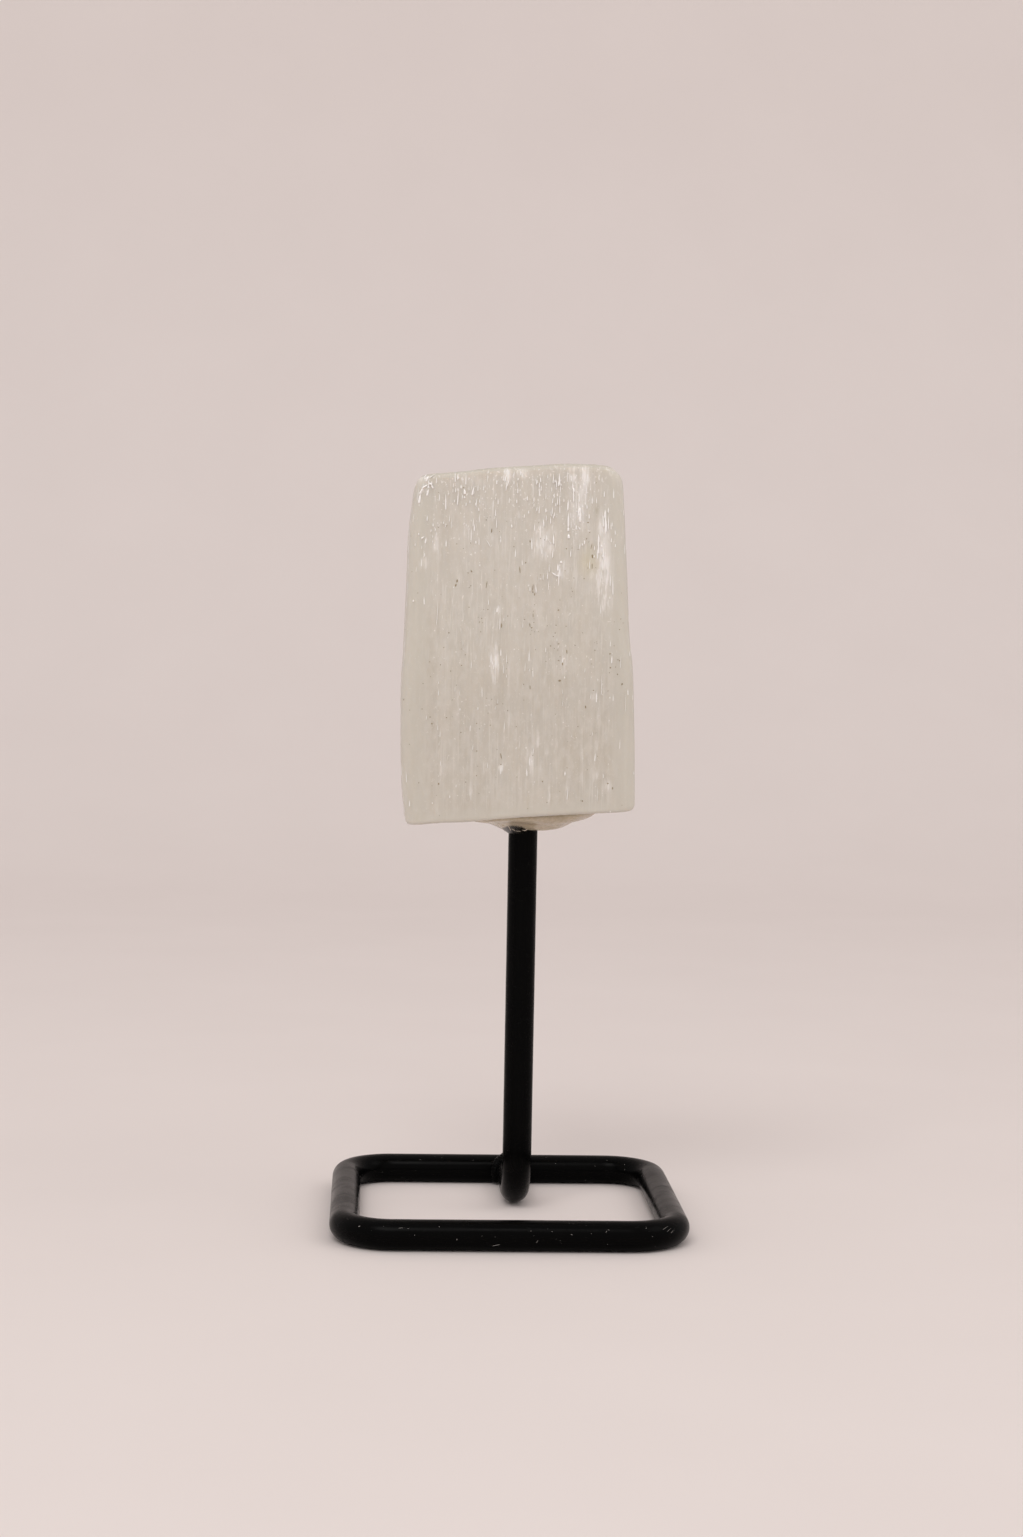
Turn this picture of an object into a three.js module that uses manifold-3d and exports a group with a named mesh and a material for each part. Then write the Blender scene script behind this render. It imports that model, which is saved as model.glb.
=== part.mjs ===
// A fibrous selenite block glued on the pin of a bent wire stand.
// Millimetres, +Z up. The origin is on the ground at the middle of the square base, and -Y is the front.

import * as THREE from "three";
import { mergeVertices } from "three/addons/utils/BufferGeometryUtils.js";
import Module from "manifold-3d";

// Stand: one size of round bar, bent cold.
const BAR_RADIUS = 2.5;
const BAR_SIDES = 16;
const BASE_WIDTH = 59.34;
const BEND_RADIUS = 8.11;
const BEND_STEPS = 8;
const GAP = 0.3;

// Post: upright near the middle of the base, its foot bent back to the rear rail.
const POST_X = 2.16;
const POST_Y = 2.83;
const SOCKET_DEPTH = 8;
const SOCKET_SIDES = 24;

// Weld where the foot meets the rear rail.
const WELD_RADIUS = 3.5;
const WELD_LENGTH = 4.6;
const WELD_CLEARANCE = 0.4;
const WELD_SEGMENTS = [24, 14];

// Crystal: depth and relief. Its width and slanted ends are in the profiles further down.
const CRYSTAL_BOTTOM = 68.7;
const CRYSTAL_TOP = 127;
const EDGE_RADIUS = 2.0;
const FRONT_BOTTOM_Y = -9.4;
const FRONT_TOP_Y = -8.2;
const BACK_BOTTOM_Y = 15.0;
const BACK_TOP_Y = 13.4;
const TAPER_START = 0.35;
const BULGE_HEIGHT = 92;
const BULGE_SPREAD = 9;
const BULGE = 0.35;
const BODY_LEVELS = 16;
const END_SHARES = [0, 0.004, 0.012, 0.026, 0.045];
const FACE_COLUMNS = 32;
const SIDE_COLUMNS = 18;
const CORNER_COLUMNS = 3;
const FIBRE_DEPTH = 0.42;
const FIBRE_WAVE = 0.1;
const CAP_SCALES = [0.3, 0.65];

// Glue: a lump squeezed out round the post, thick and blunt on its right, a thin meniscus on its left.
const GLUE_SECTORS = 28;
const GLUE_RINGS = 6;
const GLUE_REACH = { right: 12.1, left: 10.6, front: 10.3, back: 8.8 };
const GLUE_COLLAR = 2.3;
const GLUE_LOBE = { thick: 0.75, wafer: 1.35 };
const GLUE_RIM = 0.8;
const GLUE_STEP = [0.42, 0.66];

// Repeatable random numbers from 0 to 1.
function seededRandom(seed) {
  let state = seed >>> 0;
  return () => {
    state = (Math.imul(state, 1664525) + 1013904223) >>> 0;
    return state / 4294967296;
  };
}

function mix(a, b, t) {
  return a + (b - a) * t;
}

function smooth(low, high, value) {
  const t = THREE.MathUtils.clamp((value - low) / (high - low), 0, 1);
  return t * t * (3 - 2 * t);
}

// Joins rings of points into a closed skin: end to end, or with a fan at each end.
function skin(rings, closed) {
  const count = rings[0].length;
  const points = rings.flat();
  const faces = [];
  const last = closed ? rings.length : rings.length - 1;
  for (let row = 0; row < last; row += 1) {
    const next = (row + 1) % rings.length;
    for (let i = 0; i < count; i += 1) {
      const j = (i + 1) % count;
      const [a, b] = [row * count + i, row * count + j];
      const [c, d] = [next * count + i, next * count + j];
      faces.push(a, b, d, a, d, c);
    }
  }
  if (!closed) {
    for (const row of [0, rings.length - 1]) {
      const middle = rings[row].reduce((sum, p) => sum.add(p), new THREE.Vector3()).divideScalar(count);
      const centre = points.push(middle) - 1;
      for (let i = 0; i < count; i += 1) {
        const [a, b] = [row * count + i, row * count + ((i + 1) % count)];
        faces.push(...(row === 0 ? [b, a, centre] : [a, b, centre]));
      }
    }
  }
  const geometry = new THREE.BufferGeometry().setFromPoints(points);
  geometry.setIndex(facingOut(points, faces));
  return geometry;
}

// Turns every face over where the skin encloses a negative volume.
function facingOut(points, faces) {
  let volume = 0;
  for (let i = 0; i < faces.length; i += 3) {
    const [a, b, c] = [points[faces[i]], points[faces[i + 1]], points[faces[i + 2]]];
    volume += a.dot(new THREE.Vector3().crossVectors(b, c));
  }
  return volume > 0 ? faces : faces.reverse();
}

// A round bar's section at a point of its path. Its flats face up, down and to the sides.
function barRing(centre, across, up, radius = BAR_RADIUS) {
  const reach = radius / Math.cos(Math.PI / BAR_SIDES);
  return Array.from({ length: BAR_SIDES }, (_, i) => {
    const angle = ((i + 0.5) / BAR_SIDES) * Math.PI * 2;
    return centre.clone()
      .addScaledVector(across, reach * Math.cos(angle))
      .addScaledVector(up, reach * Math.sin(angle));
  });
}

// Base: a square of bar with four round bends, lying on the ground.
function makeBaseLoop() {
  const half = BASE_WIDTH / 2 - BAR_RADIUS;
  const inset = half - BEND_RADIUS;
  const up = new THREE.Vector3(0, 0, 1);
  const rings = [];
  for (let corner = 0; corner < 4; corner += 1) {
    const start = corner * Math.PI / 2;
    const turn = new THREE.Vector3(inset, inset, 0).applyAxisAngle(up, start);
    for (let step = 0; step <= BEND_STEPS; step += 1) {
      const angle = start + (step / BEND_STEPS) * Math.PI / 2;
      const outward = new THREE.Vector3(Math.cos(angle), Math.sin(angle), 0);
      const centre = turn.clone().addScaledVector(outward, BEND_RADIUS).setZ(BAR_RADIUS);
      rings.push(barRing(centre, outward, up));
    }
  }
  return skin(rings, true);
}

const railY = BASE_WIDTH / 2 - BAR_RADIUS;

// Post: straight down, one bend to the back, then along the ground to the rear rail.
function makePost() {
  const across = new THREE.Vector3(1, 0, 0);
  const top = undersideAt(POST_X) + SOCKET_DEPTH - GAP;
  const rings = [barRing(new THREE.Vector3(POST_X, POST_Y, top), across, new THREE.Vector3(0, 1, 0))];
  for (let step = 0; step <= BEND_STEPS; step += 1) {
    const angle = (step / BEND_STEPS) * Math.PI / 2;
    const y = POST_Y + BEND_RADIUS * (1 - Math.cos(angle));
    const z = BAR_RADIUS + BEND_RADIUS * (1 - Math.sin(angle));
    const up = new THREE.Vector3(0, Math.cos(angle), Math.sin(angle));
    rings.push(barRing(new THREE.Vector3(POST_X, y, z), across, up));
  }
  const footEnd = railY - BAR_RADIUS - GAP;
  rings.push(barRing(new THREE.Vector3(POST_X, footEnd, BAR_RADIUS), across, new THREE.Vector3(0, 0, 1)));
  return skin(rings, false);
}

// Closed solids for cutting and joining, and back again.
const wasm = await Module();
wasm.setup();

function solidOf(geometry) {
  const bare = geometry.clone();
  bare.deleteAttribute("normal");
  bare.deleteAttribute("uv");
  const merged = mergeVertices(bare);
  return new wasm.Manifold(new wasm.Mesh({
    numProp: 3,
    vertProperties: new Float32Array(merged.attributes.position.array),
    triVerts: new Uint32Array(merged.index.array),
  }));
}

function geometryOf(solid) {
  const mesh = solid.getMesh();
  const geometry = new THREE.BufferGeometry();
  geometry.setAttribute("position", new THREE.BufferAttribute(new Float32Array(mesh.vertProperties), 3));
  geometry.setIndex(new THREE.BufferAttribute(new Uint32Array(mesh.triVerts), 1));
  return geometry;
}

// A straight bar between two points, fatter than the real one by the gap that its neighbour keeps.
function clearanceBar(from, to, across) {
  const along = new THREE.Vector3().subVectors(to, from).normalize();
  const up = new THREE.Vector3().crossVectors(along, across);
  const rings = [from, to].map((end) => barRing(end, across, up, BAR_RADIUS + GAP));
  return solidOf(skin(rings, false));
}

// Weld: a low saddle of metal in the angle between the foot and the rear rail.
function makeWeld() {
  const bead = new THREE.SphereGeometry(1, ...WELD_SEGMENTS);
  bead.scale(WELD_RADIUS, WELD_LENGTH / 2, WELD_RADIUS);
  bead.translate(POST_X, railY - BAR_RADIUS, BAR_RADIUS);
  const reach = 2 * WELD_RADIUS;
  const rail = clearanceBar(
    new THREE.Vector3(POST_X - reach, railY, BAR_RADIUS),
    new THREE.Vector3(POST_X + reach, railY, BAR_RADIUS),
    new THREE.Vector3(0, 1, 0),
  );
  const foot = clearanceBar(
    new THREE.Vector3(POST_X, railY - reach, BAR_RADIUS),
    new THREE.Vector3(POST_X, railY, BAR_RADIUS),
    new THREE.Vector3(1, 0, 0),
  );
  const room = new THREE.BoxGeometry(2 * reach, 2 * reach, 2 * reach);
  room.translate(POST_X, railY - BAR_RADIUS, reach + WELD_CLEARANCE);
  return geometryOf(solidOf(bead).subtract(rail).subtract(foot).intersect(solidOf(room)));
}

// A smooth line through a few points, as a row of close points.
function profileThrough(points) {
  return new THREE.SplineCurve(points.map(([x, y]) => new THREE.Vector2(x, y))).getPoints(80);
}

// Profiles of the crystal as seen from the front: near parallel below, tapering above a slight bulge.
const leftProfile = profileThrough([
  [-17.6, 66], [-18.75, 76], [-19.05, 91], [-18.75, 97.5], [-18.35, 110], [-18.2, 117.5], [-17.85, 121],
  [-17.45, 124.3], [-17.1, 126.5], [-16.8, 129],
]);
const rightProfile = profileThrough([
  [20.4, 66], [19.8, 86], [19.4, 93.5], [18.8, 98.5], [18.3, 108], [17.05, 129],
]);
const topProfile = profileThrough([
  [-22, 125.15], [-10.6, 126.15], [-5, 126.9], [3, 127.55], [9, 127.9], [22, 127.55],
]);
const underProfile = profileThrough([
  [-22, 67], [-16.5, 67.25], [-12.5, 67.65], [-7.4, 67.9],
  [-1.3, 68.55], [4.2, 69.0], [14, 69.65], [22, 70.1],
]);

// Corner rounding in the front view, and the smaller rounding of the long sawn edges.
const CORNERS = { bottomLeft: 0.9, bottomRight: 1.4, topLeft: 1.8, topRight: 3.5, sawnEdge: 0.8 };

// Reads one coordinate of a profile where the other has a given value.
function readOff(points, known, value, wanted) {
  const above = Math.max(points.findIndex((point) => point[known] > value), 1);
  const [low, high] = [points[above - 1], points[above]];
  return mix(low[wanted], high[wanted], (value - low[known]) / (high[known] - low[known]));
}

function topAt(x) {
  return readOff(topProfile, "x", x, "y");
}

function undersideAt(x) {
  return readOff(underProfile, "x", x, "y");
}

// How far a rounded corner of the given radius steps in, at a distance from the end.
function cornerInset(radius, distance) {
  const rest = Math.max(radius - distance, 0);
  return radius - Math.sqrt(radius * radius - rest * rest);
}

// Splinters that came off along the fibres: face, span across it, span up it, and depth.
const SPLINTERS = [
  { face: "front", across: [0.03, 0.16], up: [0.88, 0.97], depth: 0.55 },
  { face: "front", across: [0.7, 0.76], up: [0.72, 0.98], depth: 0.4 },
  { face: "front", across: [0.86, 0.93], up: [0.6, 0.84], depth: 0.45 },
  { face: "front", across: [0.55, 0.62], up: [0.08, 0.3], depth: 0.35 },
  { face: "front", across: [0.24, 0.3], up: [0.3, 0.52], depth: 0.35 },
  { face: "right", across: [0.3, 0.5], up: [0.5, 0.9], depth: 0.6 },
  { face: "right", across: [0.68, 0.8], up: [0.1, 0.46], depth: 0.45 },
  { face: "back", across: [0.12, 0.24], up: [0.36, 0.94], depth: 0.7 },
  { face: "back", across: [0.44, 0.58], up: [0.04, 0.4], depth: 0.6 },
  { face: "back", across: [0.76, 0.84], up: [0.3, 0.66], depth: 0.5 },
  { face: "left", across: [0.2, 0.42], up: [0.2, 0.55], depth: 0.5 },
  { face: "left", across: [0.6, 0.72], up: [0.56, 0.9], depth: 0.45 },
];

// The columns round the section: each face's fibres, and the points of the round edge that follows it.
function makeColumns() {
  const random = seededRandom(41);
  const columns = [];
  const faces = [
    ["front", FACE_COLUMNS], ["right", SIDE_COLUMNS],
    ["back", FACE_COLUMNS], ["left", SIDE_COLUMNS],
  ];
  for (const [face, count] of faces) {
    for (let i = 0; i < count; i += 1) {
      const crest = i % 2 === 0;
      const across = (i + 0.5 + 0.5 * (random() - 0.5)) / count;
      const depth = crest ? 0.25 * FIBRE_DEPTH * random() : FIBRE_DEPTH * (0.35 + 0.65 * random());
      columns.push({ face, across, depth, phase: random() * 2 * Math.PI, turns: 0.7 + 1.2 * random() });
    }
    for (let i = 0; i < CORNER_COLUMNS; i += 1) {
      const bend = (i + 0.5) / CORNER_COLUMNS;
      columns.push({
        face, bend, depth: 0.2 * FIBRE_DEPTH * random(), phase: random() * 2 * Math.PI, turns: 1,
      });
    }
  }
  return columns;
}

// The part of the height that a splinter's span covers, with steep ends.
function within([low, high], share) {
  const slope = 0.01;
  return smooth(low - slope, low + slope, share) * (1 - smooth(high - slope, high + slope, share));
}

// How deep a column lies under the face at a share of the height.
function reliefOf(column, share) {
  let depth = column.depth + FIBRE_WAVE * (1 + Math.sin(column.phase + share * column.turns * 2 * Math.PI));
  for (const { face, across, up, depth: cut } of SPLINTERS) {
    const inside = column.face === face && column.across > across[0] && column.across < across[1];
    if (inside) {
      depth += cut * within(up, share);
    }
  }
  return depth;
}

// One ring of the crystal at a share of its height, counted from the underside.
function crystalRing(columns, share) {
  const height = mix(CRYSTAL_BOTTOM, CRYSTAL_TOP, share);
  const fromEnd = Math.min(share, 1 - share) * (CRYSTAL_TOP - CRYSTAL_BOTTOM);
  const [cornerLeft, cornerRight] = share < 0.5
    ? [CORNERS.bottomLeft, CORNERS.bottomRight]
    : [CORNERS.topLeft, CORNERS.topRight];
  const bulge = BULGE * Math.exp(-(((height - BULGE_HEIGHT) / BULGE_SPREAD) ** 2));
  const taper = smooth(TAPER_START, 1, share);
  const edge = cornerInset(CORNERS.sawnEdge, fromEnd);
  const left = readOff(leftProfile, "y", height, "x") + cornerInset(cornerLeft, fromEnd);
  const right = readOff(rightProfile, "y", height, "x") - cornerInset(cornerRight, fromEnd);
  const front = mix(FRONT_BOTTOM_Y, FRONT_TOP_Y, taper) - bulge + edge;
  const back = mix(BACK_BOTTOM_Y, BACK_TOP_Y, taper) + bulge - edge;
  const r = EDGE_RADIUS;
  const sides = {
    front: {
      from: [left + r, front], to: [right - r, front],
      out: [0, -1], pivot: [right - r, front + r], angle: -90,
    },
    right: {
      from: [right, front + r], to: [right, back - r],
      out: [1, 0], pivot: [right - r, back - r], angle: 0,
    },
    back: {
      from: [right - r, back], to: [left + r, back],
      out: [0, 1], pivot: [left + r, back - r], angle: 90,
    },
    left: {
      from: [left, back - r], to: [left, front + r],
      out: [-1, 0], pivot: [left + r, front + r], angle: 180,
    },
  };
  const calm = smooth(0, 0.02, Math.min(share, 1 - share));
  return columns.map((column) => {
    const side = sides[column.face];
    const depth = reliefOf(column, share) * calm;
    let x;
    let y;
    if (column.bend === undefined) {
      x = mix(side.from[0], side.to[0], column.across) - side.out[0] * depth;
      y = mix(side.from[1], side.to[1], column.across) - side.out[1] * depth;
    } else {
      const angle = THREE.MathUtils.degToRad(side.angle + 90 * column.bend);
      x = side.pivot[0] + (r - depth) * Math.cos(angle);
      y = side.pivot[1] + (r - depth) * Math.sin(angle);
    }
    return new THREE.Vector3(x, y, mix(undersideAt(x), topAt(x), share));
  });
}

// Levels close together at the rounded ends and even between them.
function crystalShares() {
  const first = END_SHARES[END_SHARES.length - 1];
  const body = Array.from(
    { length: BODY_LEVELS },
    (_, i) => mix(first, 1 - first, (i + 1) / (BODY_LEVELS + 1)),
  );
  return [...END_SHARES, ...body, ...END_SHARES.map((share) => 1 - share).reverse()];
}

// A smaller ring on a sawn end, drawn in towards the post's axis.
function capRing(ring, scale, heightAt) {
  return ring.map((point) => {
    const x = mix(POST_X, point.x, scale);
    return new THREE.Vector3(x, mix(POST_Y, point.y, scale), heightAt(x));
  });
}

// Crystal: one block of parallel fibres, with a blind hole drilled up into it for the post.
function makeCrystal() {
  const columns = makeColumns();
  const body = crystalShares().map((share) => crystalRing(columns, share));
  const under = CAP_SCALES.map((scale) => capRing(body[0], scale, undersideAt));
  const top = CAP_SCALES.map((scale) => capRing(body[body.length - 1], scale, topAt)).reverse();
  const block = solidOf(skin([...under, ...body, ...top], false));
  const drillRadius = (BAR_RADIUS + GAP) / Math.cos(Math.PI / SOCKET_SIDES);
  const holeTop = undersideAt(POST_X) + SOCKET_DEPTH;
  const drillLength = 2 * SOCKET_DEPTH;
  const drill = new THREE.CylinderGeometry(drillRadius, drillRadius, drillLength, SOCKET_SIDES);
  drill.rotateX(Math.PI / 2);
  drill.translate(POST_X, POST_Y, holeTop - drillLength / 2);
  return geometryOf(block.subtract(solidOf(drill)));
}

// How far the glue spreads from the post's axis in a direction.
function glueReach(angle) {
  const [c, s] = [Math.cos(angle), Math.sin(angle)];
  const rx = c > 0 ? GLUE_REACH.right : GLUE_REACH.left;
  const ry = s > 0 ? GLUE_REACH.back : GLUE_REACH.front;
  const lumps = 1 + 0.05 * Math.sin(3 * angle + 0.8) + 0.03 * Math.sin(7 * angle);
  return lumps / Math.hypot(c / rx, s / ry);
}

// How thick the glue is under the crystal, from the collar at the post to the rim.
function glueThickness(angle, share) {
  const rightward = 0.5 + 0.5 * Math.cos(angle);
  const meniscus = GLUE_COLLAR * (1 - share) ** 2.4;
  const thick = GLUE_LOBE.thick * (1 - smooth(...GLUE_STEP, share));
  const lobe = thick + GLUE_LOBE.wafer * Math.sqrt(1 - share ** 4);
  return GLUE_RIM + mix(meniscus, lobe, smooth(0.3, 0.8, rightward));
}

// Glue: a closed collar round the post, its top flat under the crystal.
function makeGlue() {
  const inner = (BAR_RADIUS + GAP) / Math.cos(Math.PI / GLUE_SECTORS) + 0.03;
  const rings = [];
  for (let sector = 0; sector < GLUE_SECTORS; sector += 1) {
    const angle = (sector / GLUE_SECTORS) * 2 * Math.PI;
    const reach = glueReach(angle);
    const top = [];
    const bottom = [];
    for (let i = 0; i <= GLUE_RINGS; i += 1) {
      const share = i / GLUE_RINGS;
      const radius = mix(inner, reach, share);
      const x = POST_X + radius * Math.cos(angle);
      const y = POST_Y + radius * Math.sin(angle);
      const under = undersideAt(x) - GAP;
      top.push(new THREE.Vector3(x, y, under));
      bottom.push(new THREE.Vector3(x, y, under - glueThickness(angle, share)));
    }
    rings.push([...top, ...bottom.reverse()]);
  }
  return skin(rings, true);
}

const blackCoat = { color: 0x111112, roughness: 0.42, metalness: 0.1 };
const selenite = { color: 0xc9c2b5, roughness: 0.45, metalness: 0 };
const driedGlue = { color: 0xa89a83, roughness: 0.3, metalness: 0 };

function addPiece(group, name, geometry, finish) {
  const mesh = new THREE.Mesh(geometry, new THREE.MeshStandardMaterial(finish));
  mesh.name = name;
  group.add(mesh);
}

const group = new THREE.Group();
addPiece(group, "base_loop", makeBaseLoop(), blackCoat);
addPiece(group, "post", makePost(), blackCoat);
addPiece(group, "weld_bead", makeWeld(), blackCoat);
addPiece(group, "glue", makeGlue(), driedGlue);
addPiece(group, "crystal", makeCrystal(), selenite);

export default group;
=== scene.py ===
# %% [markdown]
# # A selenite block on a bent wire stand
#
# Selenite of this kind is satin spar: gypsum that grew as parallel fibres. A block is sawn across its
# fibres, tumbled a little so that its edges go soft, and glued on the end of a round black bar. The bar is
# bent at its foot and welded to a square loop of the same bar.
#
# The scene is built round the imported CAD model, which fixes every size and place. Each step says what the
# piece is on the real object, how it could be made in Blender, and why this way was taken.

# %% Load the frame
import math
import random

import bpy
import numpy as np
from mathutils import Matrix, Vector
from mathutils.bvhtree import BVHTree


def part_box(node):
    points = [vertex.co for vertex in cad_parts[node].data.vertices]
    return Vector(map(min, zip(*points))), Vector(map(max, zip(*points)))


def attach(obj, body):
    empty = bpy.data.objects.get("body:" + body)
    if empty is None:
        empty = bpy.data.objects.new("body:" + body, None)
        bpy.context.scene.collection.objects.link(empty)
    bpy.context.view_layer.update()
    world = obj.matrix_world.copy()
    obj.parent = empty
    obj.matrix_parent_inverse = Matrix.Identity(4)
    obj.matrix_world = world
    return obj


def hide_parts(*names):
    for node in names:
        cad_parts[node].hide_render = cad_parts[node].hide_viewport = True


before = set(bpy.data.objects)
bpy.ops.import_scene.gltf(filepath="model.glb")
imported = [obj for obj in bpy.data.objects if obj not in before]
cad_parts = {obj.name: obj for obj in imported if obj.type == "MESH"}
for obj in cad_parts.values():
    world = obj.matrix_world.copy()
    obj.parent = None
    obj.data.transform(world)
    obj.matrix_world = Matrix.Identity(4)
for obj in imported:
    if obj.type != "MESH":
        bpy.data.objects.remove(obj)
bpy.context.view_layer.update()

MM = 0.001

# %% [markdown]
# ## Small helpers
#
# Node trees are written in code here, so one helper adds a node and fills its sockets: a plain value is
# typed in, and another node's socket is wired in. A socket knows its own tree, so sums and products need
# no more than two sockets. Another helper runs a Geometry Nodes tree on an object and keeps the result as
# an ordinary mesh, because an export only knows meshes.

# %% Helpers for node trees


def node(tree, kind, inputs=None, **settings):
    """Adds a node. A socket given as an input is linked, and anything else is its value."""
    made = tree.nodes.new(kind)
    for name, value in settings.items():
        setattr(made, name, value)
    for key, value in (inputs or {}).items():
        if isinstance(value, bpy.types.NodeSocket):
            tree.links.new(value, made.inputs[key])
        else:
            made.inputs[key].default_value = value
    return made


def result(*given, **settings):
    """Adds a node in the same way and gives its first output."""
    return node(*given, **settings).outputs[0]


def calc(operation, a, b):
    """A Math node in the tree that one of its two inputs comes from."""
    tree = (a if isinstance(a, bpy.types.NodeSocket) else b).id_data
    return result(tree, "ShaderNodeMath", {0: a, 1: b}, operation=operation)


def times(a, b):
    return calc("MULTIPLY", a, b)


def plus(a, b):
    return calc("ADD", a, b)


def point_value(tree, name, kind="FLOAT"):
    """What a mesh keeps at each point under a name."""
    return result(tree, "GeometryNodeInputNamedAttribute", {"Name": name}, data_type=kind)


def geometry_tree(name, sockets):
    """Starts a Geometry Nodes tree with a geometry input, named inputs and a geometry output."""
    tree = bpy.data.node_groups.new(name, "GeometryNodeTree")
    tree.interface.new_socket("Geometry", in_out="INPUT", socket_type="NodeSocketGeometry")
    for label, kind in sockets.items():
        tree.interface.new_socket(label, in_out="INPUT", socket_type="NodeSocket" + kind)
    tree.interface.new_socket("Geometry", in_out="OUTPUT", socket_type="NodeSocketGeometry")
    return tree, node(tree, "NodeGroupInput").outputs


def random_value(low, high, seed):
    """A random number for each point, from low to high."""
    sockets = {2: low, 3: high, "Seed": seed}
    return node(seed.id_data, "FunctionNodeRandomValue", sockets, data_type="FLOAT").outputs[1]


def copies_on(points, shape, rotation, scale):
    """A copy of a shape on every point."""
    sockets = {"Points": points, "Instance": shape, "Rotation": rotation, "Scale": scale}
    return result(points.id_data, "GeometryNodeInstanceOnPoints", sockets)


def pushed_out(geometry, distance):
    """Moves every point along its normal and shades the skin smooth."""
    tree = geometry.id_data
    normal = result(tree, "GeometryNodeInputNormal")
    offset = result(tree, "ShaderNodeVectorMath", {0: normal, "Scale": distance}, operation="SCALE")
    moved = result(tree, "GeometryNodeSetPosition", {"Geometry": geometry, "Offset": offset})
    return result(tree, "GeometryNodeSetShadeSmooth", {"Geometry": moved})


def finish_tree(tree, geometry, material):
    """Ends a tree: instances made real, one material on everything."""
    real = result(tree, "GeometryNodeRealizeInstances", {"Geometry": geometry})
    painted = result(tree, "GeometryNodeSetMaterial", {"Geometry": real, "Material": material})
    node(tree, "NodeGroupOutput", {"Geometry": painted})


def mesh_object(name, points, faces=(), edges=()):
    """A mesh object at the origin, its points given in millimetres."""
    mesh = bpy.data.meshes.new(name)
    mesh.from_pydata([tuple(MM * float(c) for c in p) for p in points], list(edges), list(faces))
    made = bpy.data.objects.new(name, mesh)
    bpy.context.scene.collection.objects.link(made)
    return made


def plain_copy(base, name):
    """A new object with the plain mesh that an object's modifiers give."""
    evaluated = base.evaluated_get(bpy.context.evaluated_depsgraph_get())
    made = bpy.data.objects.new(name, bpy.data.meshes.new_from_object(evaluated))
    made.data.name = name
    bpy.context.scene.collection.objects.link(made)
    return made


def grow(base, tree, name, **values):
    """Runs a tree on an object's mesh and returns the result as a plain mesh object."""
    modifier = base.modifiers.new(tree.name, "NODES")
    modifier.node_group = tree
    for item in tree.interface.items_tree:
        if item.in_out == "INPUT" and item.name in values:
            modifier[item.identifier] = values[item.name]
    grown = plain_copy(base, name)
    base.modifiers.remove(modifier)
    return grown


def discard(*objects):
    for made in objects:
        bpy.data.objects.remove(made)


def read_points(piece, name="co"):
    """The points of a mesh as rows of x, y, z in metres, or its normals."""
    values = np.empty(len(piece.data.vertices) * 3)
    piece.data.vertices.foreach_get(name, values)
    return values.reshape(-1, 3)


def store(piece, name, values, kind="FLOAT"):
    """Keeps a number or a vector per point of a mesh under a name that node trees can read."""
    field = "vector" if kind == "FLOAT_VECTOR" else "value"
    made = piece.data.attributes.new(name, kind, "POINT")
    made.data.foreach_set(field, np.asarray(values, float).ravel())


def settle(piece, slot, *replaced):
    """Puts a finished piece on the one body and hides the CAD nodes that it stands for. Its slot is not
    used.
    """
    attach(piece, "root")
    if replaced:
        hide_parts(*replaced)
    print(piece.name, len(piece.data.polygons), "faces")


# %% [markdown]
# ## The camera
#
# The camera stands where the photograph was taken from: a little to the left, just above the middle of the
# stone, half a metre away. Its place and turn come from matching the base, the post and the stone's
# outline, so they are written down as numbers. A camera looks along its own -Z with +Y up, as its matrix
# says.

# %% Camera
CAMERA_PLACE = Vector((-24.018, -476.186, 103.894)) * MM
CAMERA_YAW = math.radians(-2.8692)
CAMERA_PITCH = math.radians(3.2871)
CAMERA_ROLL = math.radians(1.0633)
FOCAL_PIXELS = 2814.02
IMAGE_HEIGHT = 1537
SENSOR = 36.0

forward = Vector((
    -math.sin(CAMERA_YAW) * math.cos(CAMERA_PITCH),
    math.cos(CAMERA_YAW) * math.cos(CAMERA_PITCH),
    -math.sin(CAMERA_PITCH),
))
level_right = Vector((math.cos(CAMERA_YAW), math.sin(CAMERA_YAW), 0.0))
level_up = level_right.cross(forward)
right = math.cos(CAMERA_ROLL) * level_right + math.sin(CAMERA_ROLL) * level_up
up = math.cos(CAMERA_ROLL) * level_up - math.sin(CAMERA_ROLL) * level_right

camera = bpy.data.objects.new("camera", bpy.data.cameras.new("camera"))
camera.data.sensor_width = SENSOR
camera.data.lens = SENSOR * FOCAL_PIXELS / IMAGE_HEIGHT
camera.data.clip_start = 0.01
camera.matrix_world = Matrix.Translation(CAMERA_PLACE) @ Matrix((right, up, -forward)).transposed().to_4x4()
bpy.context.scene.collection.objects.link(camera)
bpy.context.scene.camera = camera
print("lens in mm", round(camera.data.lens, 2))

# %% [markdown]
# ## The black coat
#
# The stand is steel under a satin black coat. Such a coat isn't perfectly black or smooth: it has a faint
# orange-peel surface, a few scuffs that are greyer and duller, and soft, wide reflections. All of that is
# noise on the object's own coordinates, so it stays put from every side.

# %% Black coat material


def object_space(tree, scale=(1, 1, 1), place=(0, 0, 0)):
    """Object coordinates through a Mapping node, with sizes given per millimetre."""
    coordinates = node(tree, "ShaderNodeTexCoord").outputs["Object"]
    factors = tuple(s / MM for s in scale)
    offsets = tuple(-s * p for s, p in zip(scale, place))
    sockets = {"Vector": coordinates, "Location": offsets, "Scale": factors}
    return result(tree, "ShaderNodeMapping", sockets)


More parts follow.
